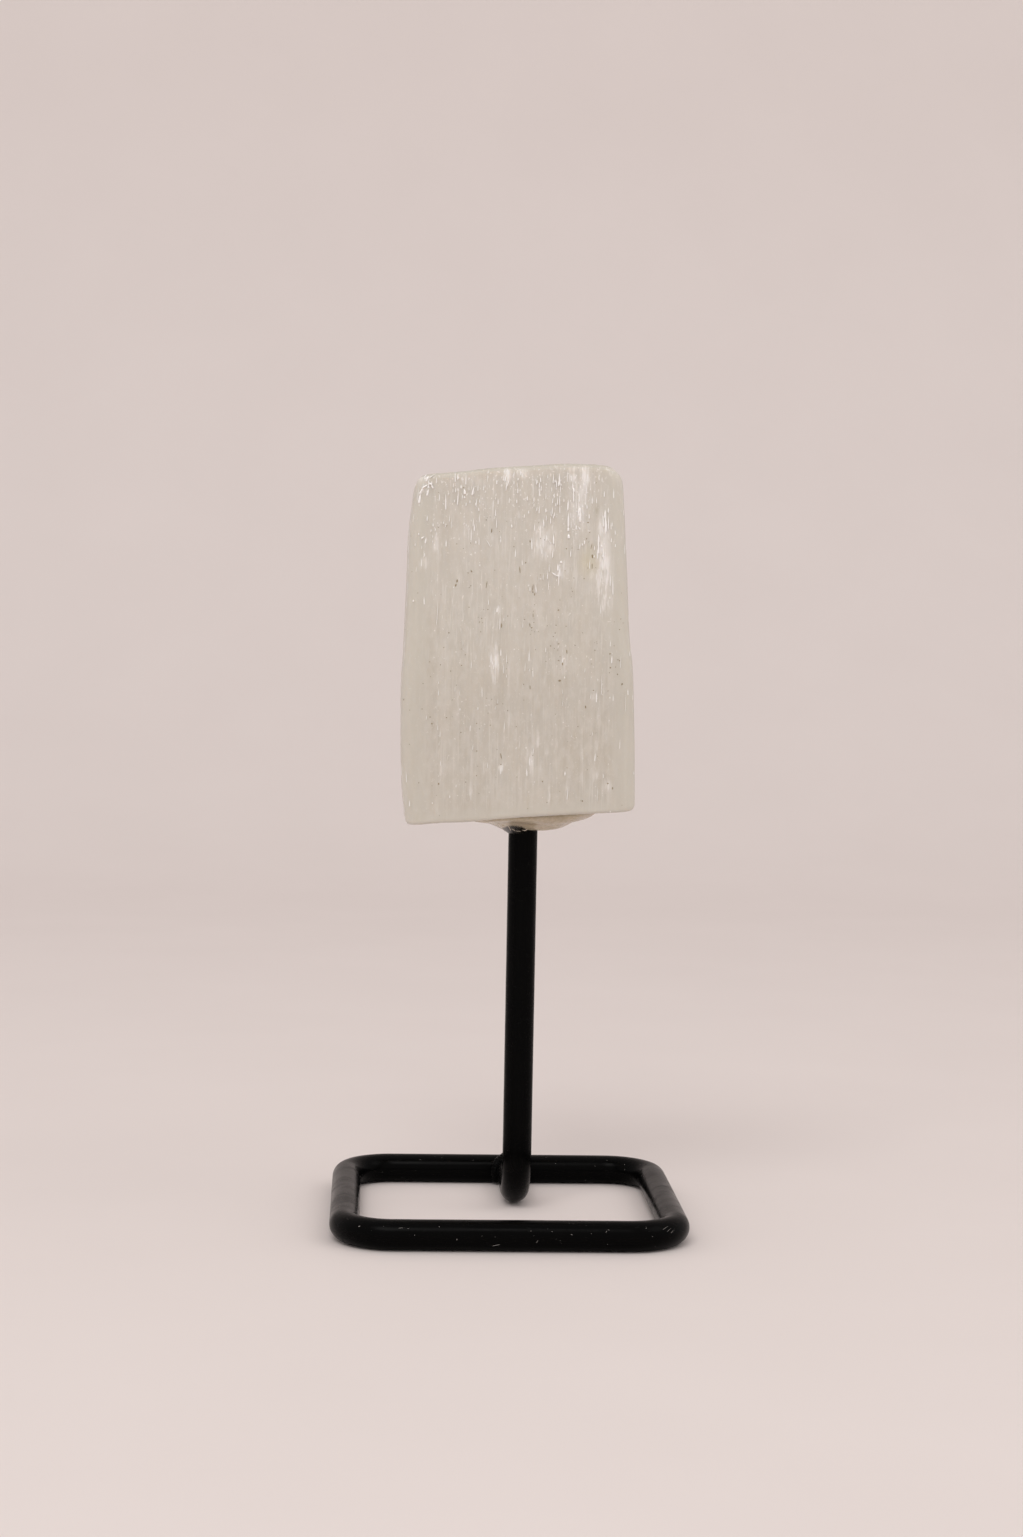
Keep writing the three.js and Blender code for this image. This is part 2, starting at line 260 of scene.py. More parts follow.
def noise(tree, scale, detail=2.0, roughness=0.5, place=(0, 0, 0), distortion=0.0):
    """Noise whose grain is as many per millimetre along each axis as scale says."""
    return node(tree, "ShaderNodeTexNoise", {
        "Vector": object_space(tree, scale, place), "Scale": 1.0, "Detail": detail,
        "Roughness": roughness, "Distortion": distortion,
    }).outputs["Fac"]


def between(value, low, high, out_low=0.0, out_high=1.0):
    """Maps a value from one range to another, with soft ends."""
    return result(value.id_data, "ShaderNodeMapRange", {
        "Value": value, "From Min": low, "From Max": high, "To Min": out_low, "To Max": out_high,
    }, interpolation_type="SMOOTHSTEP")


def blend(factor, a, b):
    """Mixes two colours, each a socket or three numbers."""
    a, b = [(*colour, 1.0) if isinstance(colour, tuple) else colour for colour in (a, b)]
    return node(factor.id_data, "ShaderNodeMix", {0: factor, 6: a, 7: b}, data_type="RGBA").outputs[2]


def surface(name, colour, **sockets):
    """A material with one Principled shader. Keyword names are its sockets, with _ for a space."""
    material = bpy.data.materials.new(name)
    material.use_nodes = True
    tree = material.node_tree
    tree.nodes.clear()
    shader = node(tree, "ShaderNodeBsdfPrincipled", {"Base Color": (*colour, 1.0)})
    for key, value in sockets.items():
        shader.inputs[key.replace("_", " ")].default_value = value
    node(tree, "ShaderNodeOutputMaterial", {"Surface": shader.outputs[0]})
    return material, tree, shader


def plug(shader, **sockets):
    """Wires sockets into a shader by name."""
    for key, socket in sockets.items():
        shader.id_data.links.new(socket, shader.inputs[key.replace("_", " ")])


def bump(height, distance, strength, **under):
    """A bump of a real height in millimetres, over another one if that is given as Normal."""
    sizes = {"Distance": distance * MM, "Strength": strength}
    return result(height.id_data, "ShaderNodeBump", {"Height": height, **sizes, **under})


def mottled(name, low, high, scale, detail=2.0, relief=None, **sockets):
    """A material that wanders between two colours. Relief is the height and strength of its bump."""
    material, tree, shader = surface(name, low, **sockets)
    pattern = noise(tree, scale, detail=detail)
    plug(shader, Base_Color=blend(pattern, low, high))
    if relief:
        plug(shader, Normal=bump(pattern, *relief))
    return material


black_coat, tree, shader = surface("black_coat", (0.002, 0.002, 0.002), Specular_IOR_Level=0.04)
peel = noise(tree, (2.2, 2.2, 2.2), detail=3.0)
smears = noise(tree, (0.12, 0.3, 0.3), detail=4.0, distortion=0.6)
scuffs = between(noise(tree, (0.5, 1.6, 1.6), detail=5.0, place=(3, 1, 0)), 0.62, 0.74)
plug(
    shader,
    Base_Color=blend(times(scuffs, 0.5), (0.0012, 0.0012, 0.0012), (0.006, 0.0058, 0.0055)),
    Roughness=plus(between(smears, 0.35, 0.7, 0.2, 0.3), times(scuffs, 0.15)),
    Normal=bump(peel, 0.02, 0.5),
)
print("black coat has", len(tree.nodes), "nodes")

# %% [markdown]
# ## The bent bar
#
# Both stand parts are one size of round bar on a path with bends. On a workbench you'd clamp the bar and
# pull it round a former, and Geometry Nodes can say just that: a path with sharp corners, a Fillet Curve
# node for the bends, and Curve to Mesh with a circle for the bar. One tree makes both parts, because only
# the path differs. Set Position then pushes the skin inwards by a few hundredths of a millimetre, as a
# sprayed coat is never dead even. It only goes inwards, so the bar never leaves its CAD size.

# %% The bent bar as a node tree
loop_low, loop_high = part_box("base_loop")
post_low, post_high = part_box("post")
BAR_RADIUS = (loop_high.z - loop_low.z) / MM / 2
BEND_RADIUS = 8.11
BAR_SIDES = 40
STATION = 0.45
COAT_UNEVENNESS = 0.035

bar_tree, inputs = geometry_tree("bent_bar", {
    "Bar radius": "Float", "Bend radius": "Float", "Station length": "Float", "Sides": "Int",
    "Unevenness": "Float", "Material": "Material",
})
path = result(bar_tree, "GeometryNodeMeshToCurve", {"Mesh": inputs["Geometry"]})
bent = result(bar_tree, "GeometryNodeFilletCurve", {
    "Curve": path, "Count": 24, "Radius": inputs["Bend radius"], "Limit Radius": True,
}, mode="POLY")
stations = result(bar_tree, "GeometryNodeResampleCurve", {
    "Curve": bent, "Length": inputs["Station length"],
}, mode="LENGTH")
section = result(bar_tree, "GeometryNodeCurvePrimitiveCircle", {
    "Resolution": inputs["Sides"], "Radius": inputs["Bar radius"],
})
bar = result(bar_tree, "GeometryNodeCurveToMesh", {
    "Curve": stations, "Profile Curve": section, "Fill Caps": True,
})
ripple = node(bar_tree, "ShaderNodeTexNoise", {"Scale": 260.0, "Detail": 2.0}).outputs["Fac"]
coated = pushed_out(bar, times(times(ripple, inputs["Unevenness"]), -1.0))
finish_tree(bar_tree, coated, inputs["Material"])


def bent_bar(name, corners, closed):
    """A bar along a path of sharp corners, given in millimetres."""
    edges = [(i, i + 1) for i in range(len(corners) - 1)] + ([(len(corners) - 1, 0)] if closed else [])
    guide = mesh_object(name + "_path", corners, edges=edges)
    made = grow(guide, bar_tree, name, **{
        "Bar radius": BAR_RADIUS * MM, "Bend radius": BEND_RADIUS * MM, "Station length": STATION * MM,
        "Sides": BAR_SIDES, "Unevenness": COAT_UNEVENNESS * MM, "Material": black_coat,
    })
    discard(guide)
    return made


# %% [markdown]
# The base's path is a square through the bar's centre. The post's path starts up inside the stone, drops
# to the ground and turns back to the rear rail, where its end is buried in the weld.

# %% Base loop and post
rail = loop_high.x / MM - BAR_RADIUS
post_x = (post_low.x + post_high.x) / 2 / MM
post_y = post_low.y / MM + BAR_RADIUS
SINK = 1.2

square = [(rail, rail), (-rail, rail), (-rail, -rail), (rail, -rail)]
base_loop = bent_bar("stand_base", [(x, y, BAR_RADIUS) for x, y in square], closed=True)
post = bent_bar("stand_post", [
    (post_x, post_y, post_high.z / MM),
    (post_x, post_y, BAR_RADIUS),
    (post_x, rail - BAR_RADIUS + SINK, BAR_RADIUS),
], closed=False)
settle(base_loop, "black_coat", "base_loop")
settle(post, "black_coat", "post")

# %% [markdown]
# ## The weld
#
# Two equal bars that meet at right angles touch along a curve that dips from the top of the joint down
# both sides. The weld follows it as a row of overlapping ripples, fat in the side corners and thin over
# the top. A node tree sets flattened balls along that curve, and a voxel Remesh melts them into one skin,
# much as the molten metal did.

# %% Weld bead
WELD_STATIONS = 26
WELD_FROM, WELD_TURN = -28, 236
WELD_REACH = BAR_RADIUS + 0.12
WELD_FORWARD = 0.1
WELD_SIDE = 1.05
WELD_TOP = 0.5
WELD_VOXEL = 0.11

weld_path = []
weld_sizes = []
for i in range(WELD_STATIONS):
    angle = math.radians(WELD_FROM + WELD_TURN * i / (WELD_STATIONS - 1))
    across = WELD_REACH * math.cos(angle)
    height = BAR_RADIUS + WELD_REACH * math.sin(angle)
    weld_path.append((post_x + across, rail - abs(across) - WELD_FORWARD, height))
    weld_sizes.append(WELD_TOP + (WELD_SIDE - WELD_TOP) * abs(math.cos(angle)))

weld_tree, inputs = geometry_tree("weld_ripples", {
    "Thickness": "Float", "Seed": "Int", "Material": "Material",
})
ball = result(weld_tree, "GeometryNodeMeshIcoSphere", {"Radius": MM, "Subdivisions": 3})
size = times(point_value(weld_tree, "size"), random_value(0.88, 1.12, inputs["Seed"]))
flat = times(size, inputs["Thickness"])
shape = result(weld_tree, "ShaderNodeCombineXYZ", {0: size, 1: size, 2: flat})
line = result(weld_tree, "GeometryNodeMeshToCurve", {"Mesh": inputs["Geometry"]})
points = node(weld_tree, "GeometryNodeCurveToPoints", {"Curve": line}, mode="EVALUATED")
balls = copies_on(points.outputs["Points"], ball, points.outputs["Rotation"], shape)
finish_tree(weld_tree, balls, inputs["Material"])

guide = mesh_object("weld_path", weld_path, edges=[(i, i + 1) for i in range(WELD_STATIONS - 1)])
store(guide, "size", weld_sizes)
weld_balls = grow(guide, weld_tree, "weld_balls", Thickness=0.62, Seed=5, Material=black_coat)
melt = weld_balls.modifiers.new("melt", "REMESH")
melt.mode = "VOXEL"
melt.voxel_size = WELD_VOXEL * MM
melt.use_smooth_shade = True
weld = plain_copy(weld_balls, "stand_weld")
weld.data.materials.clear()
weld.data.materials.append(black_coat)
discard(guide, weld_balls)
settle(weld, "black_coat", "weld_bead")

# %% [markdown]
# ## The stone's outline
#
# From the front the block is a tall shape with a slanted top and bottom, soft corners, nearly parallel
# sides below and a slow taper above. Each side is a smooth line through a few measured points, the same
# ones as in the CAD model. A depth profile, guessed from such stones, goes with them.

# %% Profiles of the stone


def line_through(points, samples=400):
    """A Catmull-Rom line through points in millimetres."""
    p = np.array(points, float)
    last = len(p) - 1
    t = np.linspace(0, last, samples)
    i = np.minimum(t.astype(int), last - 1)
    w = (t - i)[:, None]
    a, b, c, d = p[np.maximum(i - 1, 0)], p[i], p[i + 1], p[np.minimum(i + 2, last)]
    v0, v1 = (c - a) / 2, (d - b) / 2
    return (2 * b - 2 * c + v0 + v1) * w**3 + (3 * c - 3 * b - 2 * v0 - v1) * w**2 + v0 * w + b


LEFT = line_through([
    (-17.6, 66), (-18.75, 76), (-19.05, 91), (-18.75, 97.5), (-18.35, 110), (-18.2, 117.5), (-17.85, 121),
    (-17.45, 124.3), (-17.1, 126.5), (-16.8, 129),
])
RIGHT = line_through([(20.4, 66), (19.8, 86), (19.4, 93.5), (18.8, 98.5), (18.3, 108), (17.05, 129)])
TOP = line_through([(-22, 125.15), (-10.6, 126.15), (-5, 126.9), (3, 127.55), (9, 127.9), (22, 127.55)])
UNDER = line_through([
    (-22, 67), (-16.5, 67.25), (-12.5, 67.65), (-7.4, 67.9),
    (-1.3, 68.55), (4.2, 69), (14, 69.65), (22, 70.1),
])
STONE_BOTTOM, STONE_TOP = 68.7, 127.0
FRONT_Y = (-9.4, -8.2)
BACK_Y = (15.0, 13.4)
TAPER_START = 0.35
BULGE, BULGE_HEIGHT, BULGE_SPREAD = 0.35, 92.0, 9.0
EDGE_RADIUS = 2.0
CORNER_RADII = {"bottom": (0.9, 1.4), "top": (1.8, 3.5), "sawn": 0.8}
SOCKET_RADIUS = BAR_RADIUS + 0.05
socket_top = post_high.z / MM + 0.3


def smooth_step(low, high, value):
    t = np.clip((value - low) / (high - low), 0, 1)
    return t * t * (3 - 2 * t)


def mix(a, b, t):
    return a + (b - a) * t


def corner_inset(radius, distance):
    """How far a round corner of this radius steps in, at a distance from the end."""
    rest = max(radius - distance, 0.0)
    return radius - math.sqrt(radius * radius - rest * rest)


def height_at(line, x):
    return np.interp(x, line[:, 0], line[:, 1])


def side_at(line, height):
    return np.interp(height, line[:, 1], line[:, 0])


print("stone height at its middle in mm", round(float(height_at(TOP, 0) - height_at(UNDER, 0)), 2))

# %% [markdown]
# ## The stone's body
#
# A loft suits a fibrous stone: rings from the underside to the top, with as many columns round each ring
# as it takes for a column to be a fibre bundle. Each vertical row of faces then runs along the fibres. The
# rings go on inwards over both sawn ends, and up the wall of the hole that was drilled for the post, so
# the skin is closed and there is no boolean to leave bad faces. Four attributes are stored on the way: how
# much a point belongs to a fibrous side, to a sawn end, to a rim, and to the rounded top edge. The rim is
# an edge that tumbling has polished, and at the lower end it is also painted paler, as painted light against
# the shade of the down-facing edge. The rounded top edge is painted darker, as painted shade that takes back
# the light it gets from above.

# %% Loft of the stone
FACE_COLUMNS, SIDE_COLUMNS, EDGE_COLUMNS = 170, 104, 11
BODY_ROWS = 96
END_ROWS, END_SHARE = 9, 0.045
CAP_RINGS = 17
TOP_FAN_RADIUS = 0.4
# The third fade sets how far the painted shade of the rounded top edge reaches down.
SIDE_FADE, SAWN_FADE, TOP_EDGE_SHADE_FADE = (0, 0.03), (0, 0.006), (0.004, 0.014)
LOW_RIM_FADE, HIGH_RIM_FADE, EDGE_FADE = (0.01, 0.055), (0.003, 0.016), (0, 0.09)
HOLE_LEVELS = (70.5, 73.0, socket_top)


def section_columns():
    """Which face or round edge each column is on, and how far along it."""
    columns = []
    for face, count in enumerate((FACE_COLUMNS, SIDE_COLUMNS, FACE_COLUMNS, SIDE_COLUMNS)):
        columns += [(face, (i + 0.5) / count, False) for i in range(count)]
        columns += [(face, (i + 0.5) / EDGE_COLUMNS, True) for i in range(EDGE_COLUMNS)]
    return columns


COLUMNS = section_columns()


def stone_ring(share):
    """The ring at a share of the stone's height, as x, y, z in millimetres."""
    height = mix(STONE_BOTTOM, STONE_TOP, share)
    from_end = min(share, 1 - share) * (STONE_TOP - STONE_BOTTOM)
    corner_left, corner_right = CORNER_RADII["bottom" if share < 0.5 else "top"]
    edge = corner_inset(CORNER_RADII["sawn"], from_end)
    bulge = BULGE * math.exp(-(((height - BULGE_HEIGHT) / BULGE_SPREAD) ** 2))
    taper = float(smooth_step(TAPER_START, 1.0, share))
    x0 = side_at(LEFT, height) + corner_inset(corner_left, from_end)
    x1 = side_at(RIGHT, height) - corner_inset(corner_right, from_end)
    y0 = mix(*FRONT_Y, taper) - bulge + edge
    y1 = mix(*BACK_Y, taper) + bulge - edge
    r = EDGE_RADIUS
    pivots = ((x1 - r, y0 + r), (x1 - r, y1 - r), (x0 + r, y1 - r), (x0 + r, y0 + r))
    points = []
    for face, along, on_edge in COLUMNS:
        angle = math.radians(90 * (face - 1 + (along if on_edge else 0)))
        past = 1 if on_edge else along
        x = mix(pivots[face - 1][0], pivots[face][0], past) + r * math.cos(angle)
        y = mix(pivots[face - 1][1], pivots[face][1], past) + r * math.sin(angle)
        points.append((x, y))
    x, y = np.array(points).T
    return np.stack([x, y, mix(height_at(UNDER, x), height_at(TOP, x), share)], 1)


def drawn_in(ring, share, heights, radius):
    """A ring of a sawn end, part of the way in from the outline to a circle round the post's axis."""
    centre = np.array([post_x, post_y])
    spoke = ring[:, :2] - centre
    circle = centre + spoke * (radius / np.linalg.norm(spoke, axis=1))[:, None]
    plan = mix(ring[:, :2], circle, share)
    return np.column_stack([plan, height_at(heights, plan[:, 0])])


end_shares = [END_SHARE * (i / END_ROWS) ** 2 for i in range(END_ROWS)]
middle = np.linspace(END_SHARE, 1 - END_SHARE, BODY_ROWS)
shares = np.array([*end_shares, *middle, *[1 - s for s in reversed(end_shares)]])
body = [stone_ring(s) for s in shares]
inward_steps = [(i + 1) / CAP_RINGS for i in range(CAP_RINGS)]
underside = [drawn_in(body[0], s, UNDER, SOCKET_RADIUS) for s in inward_steps]
sawn_top = [drawn_in(body[-1], s, TOP, TOP_FAN_RADIUS) for s in inward_steps]
hole = [np.column_stack([underside[-1][:, :2], np.full(len(COLUMNS), z)]) for z in HOLE_LEVELS]
rings = [*reversed(hole), *reversed(underside), *body, *sawn_top]


def per_row(on_body, on_caps=0.0):
    """One value per ring: none in the hole, one for the sawn ends, and the body's own."""
    caps = np.full(CAP_RINGS, on_caps)
    return np.concatenate([np.zeros(len(hole)), caps, on_body, caps])


def loft(name, rings):
    """One closed skin over a stack of rings, with a fan at each end."""
    count, rows = len(rings[0]), len(rings)
    points = [*np.concatenate(rings), rings[0].mean(0), rings[-1].mean(0)]
    faces = []
    for row in range(rows - 1):
        low, high = row * count, (row + 1) * count
        faces += [(low + i, low + (i + 1) % count, high + (i + 1) % count, high + i) for i in range(count)]
    first, last, top = rows * count, rows * count + 1, (rows - 1) * count
    faces += [((i + 1) % count, i, first) for i in range(count)]
    faces += [(top + i, top + (i + 1) % count, last) for i in range(count)]
    return mesh_object(name, points, faces)


stone_blank = loft("stone_blank", rings)
from_ends = np.minimum(shares, 1 - shares)
side_share = per_row(smooth_step(*SIDE_FADE, from_ends))
sawn_share = per_row(1 - smooth_step(*SAWN_FADE, from_ends), 1.0)
# Painted shade: how much a point lies on the rounded top edge, which is painted darker.
top_edge_shade_share = per_row(1 - smooth_step(*TOP_EDGE_SHADE_FADE, 1 - shares))
# The rim is a polished edge. Its band is wider at the lower end, where its paler colour is painted light
# against the shade of the down-facing edge.
low_rim = 1 - smooth_step(*LOW_RIM_FADE, shares)
high_rim = 1 - smooth_step(*HIGH_RIM_FADE, 1 - shares)
row_rim = per_row(np.where(shares < 0.5, low_rim, high_rim))
column_rim = [1.0 if on_edge else 1 - smooth_step(*EDGE_FADE, min(a, 1 - a)) for _, a, on_edge in COLUMNS]
rim_share = np.maximum(row_rim[:, None], np.outer(side_share, column_rim))
for name, values in (("side", side_share), ("sawn", sawn_share), ("top_edge_shade", top_edge_shade_share)):
    store(stone_blank, name, [*np.repeat(values, len(COLUMNS)), values[0], values[-1]])
store(stone_blank, "rim", [*rim_share.ravel(), 0.0, 0.0])
print("stone loft has", len(stone_blank.data.polygons), "faces")

# %% [markdown]
# ## Pearly patches
#
# Where fibres have parted from each other, air gets in and the stone turns white and pearly. The white of
# these patches is partly that and partly painted satin sheen. On this stone that is mostly the upper part:
# the upper left corner, the top edge and a long band down the right. Lower down there are thin long lines.
# Each patch is a soft ellipse on a face, listed with its middle, its half width and height in millimetres,
# and its strength. Their sum is kept as an attribute of the mesh, which both the material and the
# scattered splinters read.

# %% Pearly patches as an attribute
FRONT_VEILS = (
    (10.9, 125.8, 0.6, 1.6, 0.6), (9.9, 121, 1.5, 3.6, 0.36), (9.4, 114.3, 0.5, 2.5, 0.18),
    (3.9, 114.8, 1.7, 2.7, 0.34), (3.5, 117.2, 0.5, 1, 0.2), (4.5, 113.4, 1.4, 1.6, 0.2),
    (14.4, 118.4, 0.9, 3, 0.32), (14.7, 111.5, 0.8, 0.9, 0.8), (14.4, 113.9, 1.2, 2.3, 0.42),
    (14.3, 107.7, 1.7, 4.4, 0.34), (15.3, 107.6, 0.7, 3.8, 0.34), (13.7, 117.4, 0.7, 1, 0.4),
    (12.4, 110.6, 1, 2.2, 0.2), (6.2, 109.5, 0.9, 0.35, 0.3), (7.5, 110.2, 0.8, 1.6, 0.42),
    (-16.6, 121.4, 0.35, 1, 0.8), (-15.3, 122.8, 0.3, 0.9, 0.6), (-15, 124.1, 0.5, 0.5, 0.6),
    (-15.9, 123.4, 0.6, 0.6, 0.5), (-15.5, 124.7, 0.4, 0.6, 0.6), (-13.8, 114, 0.5, 1.2, 0.45),
    (-15.5, 114.3, 0.4, 0.9, 0.4), (-15.9, 110.9, 0.6, 0.7, 0.55), (-15.7, 110.5, 0.9, 1.6, 0.28),
    (-15.1, 112.5, 0.9, 1.1, 0.2), (-2.2, 125.5, 0.5, 1.5, 0.45), (-1.4, 125.9, 2, 1, 0.18),
    (0.6, 126.1, 0.7, 0.8, 0.3), (8.7, 125.6, 0.5, 0.5, 0.55), (9, 127, 1.3, 0.4, 0.3),
    (-3.7, 114.9, 1, 1, 0.18), (-9.5, 125, 1.6, 1.5, 0.1), (-6.7, 124.3, 1.3, 1, 0.14),
    (-8.2, 116.1, 1.2, 1, 0.22), (-3.9, 95.8, 0.7, 1.7, 0.42), (-3.7, 93.5, 0.75, 1.8, 0.52),
    (-3.5, 103.3, 0.5, 0.7, 0.45), (-3.1, 101, 0.7, 1.3, 0.25), (12.9, 89.2, 0.6, 0.5, 0.45),
    (11.2, 90.3, 0.8, 0.4, 0.35), (5.4, 89.4, 0.4, 0.8, 0.35), (-2.4, 77.1, 0.5, 0.5, 0.6),
    (-1.7, 77.8, 0.3, 0.3, 0.4), (-5, 77, 0.8, 1.3, 0.25), (2.3, 78.5, 0.8, 2, 0.25),
    (-8.1, 73.3, 1, 1.3, 0.22), (15.4, 74.5, 0.7, 1.2, 0.35), (13.5, 76, 0.5, 0.8, 0.3),
    (7.5, 95.2, 1.2, 2, 0.25), (-13, 84.6, 0.4, 0.8, 0.3), (-9.2, 79.1, 0.5, 0.8, 0.2),
    (-4.8, 73.7, 0.6, 0.6, 0.3), (-16.5, 69.8, 0.5, 0.5, 0.35), (-14.9, 68.9, 1.7, 0.4, 0.25),
    (4.1, 81.5, 0.5, 0.8, 0.2), (-2, 83, 0.2, 2.2, 0.35), (-1.4, 91.8, 0.22, 3.4, 0.4),
    (-1.2, 84.3, 0.2, 3.4, 0.3), (10.9, 81.1, 0.25, 2.6, 0.4), (11.2, 76.5, 0.25, 2.2, 0.35),
    (13.3, 80.1, 0.28, 2.3, 0.42), (5.2, 80.4, 0.22, 1.8, 0.4), (2.6, 77.7, 0.3, 2.4, 0.3),
    (5.7, 72.4, 0.22, 2, 0.42), (8.8, 73.5, 0.3, 2, 0.4), (-7.3, 73.5, 0.25, 1.6, 0.4),
    (-9.7, 87.5, 0.25, 2.2, 0.32), (0.6, 75.5, 0.25, 2.4, 0.35), (14.3, 91.5, 0.25, 1.8, 0.35),
    (3.6, 82.5, 0.3, 2.2, 0.3), (-12.4, 76, 0.25, 1.6, 0.3),
)


PEARLY_TOP, PEARLY_HEIGHTS = 0.1, (108, 124)
VEIL_SPREAD, VEIL_SOFTNESS = 1.5, 1.6
VEIL_RANGE = 58


def random_veils(seed, count, low, high):
    """Veils for a side that no picture shows, denser towards the top like those in front."""
    chance = random.Random(seed)
    veils = []
    for _ in range(count):
        height = STONE_TOP - VEIL_RANGE * chance.random() ** 1.5
        width = chance.uniform(0.2, 1.1)
        tall = width * chance.uniform(1.5, 6.0)
        veils.append((chance.uniform(low, high), height, width, tall, chance.uniform(0.15, 0.6)))
    return veils


BACK_VEILS = random_veils(31, 60, -17, 18)
LEFT_VEILS = random_veils(32, 36, -8, 13)
RIGHT_VEILS = random_veils(33, 36, -8, 13)


def patch_sum(along, height, patches):
    total = np.zeros(len(along))
    for middle_along, middle_height, half_width, half_height, strength in patches:
        distance = ((along - middle_along) / half_width) ** 2 + ((height - middle_height) / half_height) ** 2
        total += strength * np.exp(-((distance / VEIL_SPREAD) ** VEIL_SOFTNESS))
    return np.clip(total, 0, 1)


x, y, z = read_points(stone_blank).T / MM
facing_x, facing_y = read_points(stone_blank, "normal").T[:2]
# The pearly white, partly the stone's own and partly painted sheen, grows towards the top.
pearl = PEARLY_TOP * smooth_step(*PEARLY_HEIGHTS, z)
for towards, along, veils in (
    (-facing_y, x, FRONT_VEILS), (facing_y, x, BACK_VEILS),
    (-facing_x, y, LEFT_VEILS), (facing_x, y, RIGHT_VEILS),
):
    pearl += np.clip(towards, 0, 1) * patch_sum(along, z, veils)
store(stone_blank, "pearl", np.clip(pearl, 0, 1))
print("mean pearly share", round(float(pearl.mean()), 3))

# %% [markdown]
# ## Selenite
#
# Light goes into satin spar, scatters along the fibres and comes out somewhere else, so the stone looks
# soft and lit from inside, but nothing can be seen through it. That is subsurface scattering, with a gloss
# on top. The colour is a warm grey with fine vertical streaks, because the noises are stretched along the
# fibres. The pearly attribute turns it white, partly as a soft veil and partly in ragged strands, and that
# white is partly the stone's own and partly painted satin sheen. Thin dashes of painted glint gather there.
# One spot is stained yellow. The sawn ends are chalkier, because a saw leaves every fibre's end broken. The
# rim is a polished, less pearly edge and is painted paler at the lower end as painted light, and the rounded
# top edge is painted darker as painted shade.

# %% Selenite material
selenite, tree, shader = surface(
    "selenite", (0.6, 0.54, 0.47), Subsurface_Weight=0.6, Subsurface_Radius=(1.0, 0.9, 0.78),
    Subsurface_Scale=2.4 * MM, IOR=1.52, Specular_IOR_Level=0.45,
)


def attribute(tree, name):
    return node(tree, "ShaderNodeAttribute", attribute_name=name).outputs["Fac"]


def spot(tree, middle, half_sizes):
    """A soft ball, one in its middle and nothing beyond its half sizes in millimetres."""
    place = object_space(tree, tuple(1 / half for half in half_sizes), middle)
    return node(tree, "ShaderNodeTexGradient", {"Vector": place}, gradient_type="SPHERICAL").outputs["Fac"]


bundles = noise(tree, (0.7, 0.7, 0.05), detail=3.0, roughness=0.55)
fibres = noise(tree, (3.0, 3.0, 0.06), detail=2.0, roughness=0.6, place=(2, 5, 0))
clouds = noise(tree, (0.14, 0.14, 0.09), detail=3.0, distortion=0.5)
mottle = noise(tree, (0.9, 0.9, 0.5), detail=4.0, roughness=0.6, place=(1, 2, 8))
dashes = noise(tree, (3.0, 3.0, 0.3), detail=2.0, roughness=0.55, place=(7, 0, 3))
specks = noise(tree, (2.6, 2.6, 1.6), detail=2.0, roughness=0.5, place=(1, 6, 4))
strands = noise(tree, (2.7, 2.7, 0.2), detail=3.0, roughness=0.6, place=(5, 1, 2))
flecks = noise(tree, (2.4, 2.4, 1.6), detail=3.0, roughness=0.6, place=(4, 4, 1))
chalk = noise(tree, (3.0, 3.0, 3.0), detail=5.0, roughness=0.7)
pearl, sawn, rim, top_edge_shade = [attribute(tree, name) for name in ("pearl", "sawn", "rim", "top_edge_shade")]
height = node(tree, "ShaderNodeSeparateXYZ", {0: object_space(tree)}).outputs["Z"]
# Painted glints: thin bright dashes along the fibres, more where the stone is pearly and fewer low down.
glint_dash_mask = between(plus(dashes, times(pearl, 0.22)), 0.66, 0.76)
speck_mask = between(plus(specks, between(height, 112.0, 126.5, 0.0, 0.09)), 0.69, 0.74)
ragged = times(pearl, between(strands, 0.36, 0.64, 0.4, 1.5))
ragged = times(ragged, between(mottle, 0.35, 0.65, 0.6, 1.3))
glint_dash_mask = times(glint_dash_mask, between(height, 80.0, 115.0, 0.2, 0.45))
# The veil: partly the stone's own white, partly painted satin sheen.
veil = times(between(ragged, 0.05, 0.8), 0.45)
veil = plus(veil, times(between(pearl, 0.08, 0.8), 0.27))
white_sheen_and_glints = plus(glint_dash_mask, veil)
white_sheen_and_glints = plus(white_sheen_and_glints, times(speck_mask, 0.6))
white_sheen_and_glints = times(white_sheen_and_glints, between(rim, 0.0, 1.0, 1.0, 0.3))

# Painted light among these colours: the pearly white is partly painted sheen, the rim colour is partly
# painted light at the lower end, and the dark top-edge colour is painted shade.
SHADE, LIGHT = (0.585, 0.541, 0.465), (0.64, 0.598, 0.528)
COOL, THREAD = (0.59, 0.559, 0.497), (0.73, 0.697, 0.64)
PEARL_WHITE_AND_SHEEN, STAIN, RIM = (0.93, 0.905, 0.88), (0.66, 0.6, 0.43), (0.625, 0.597, 0.53)
SAWN, TOP_EDGE_SHADE, SMUDGE = (0.58, 0.545, 0.48), (0.48, 0.453, 0.385), (0.5, 0.46, 0.37)
colour = blend(between(bundles, 0.3, 0.7), SHADE, LIGHT)
threads = times(between(fibres, 0.5, 0.72), between(clouds, 0.4, 0.62, 0.1, 0.62))
threads = times(threads, between(height, 80.0, 118.0, 0.9, 1.5))
chalky = times(sawn, between(chalk, 0.35, 0.65, 0.6, 0.95))
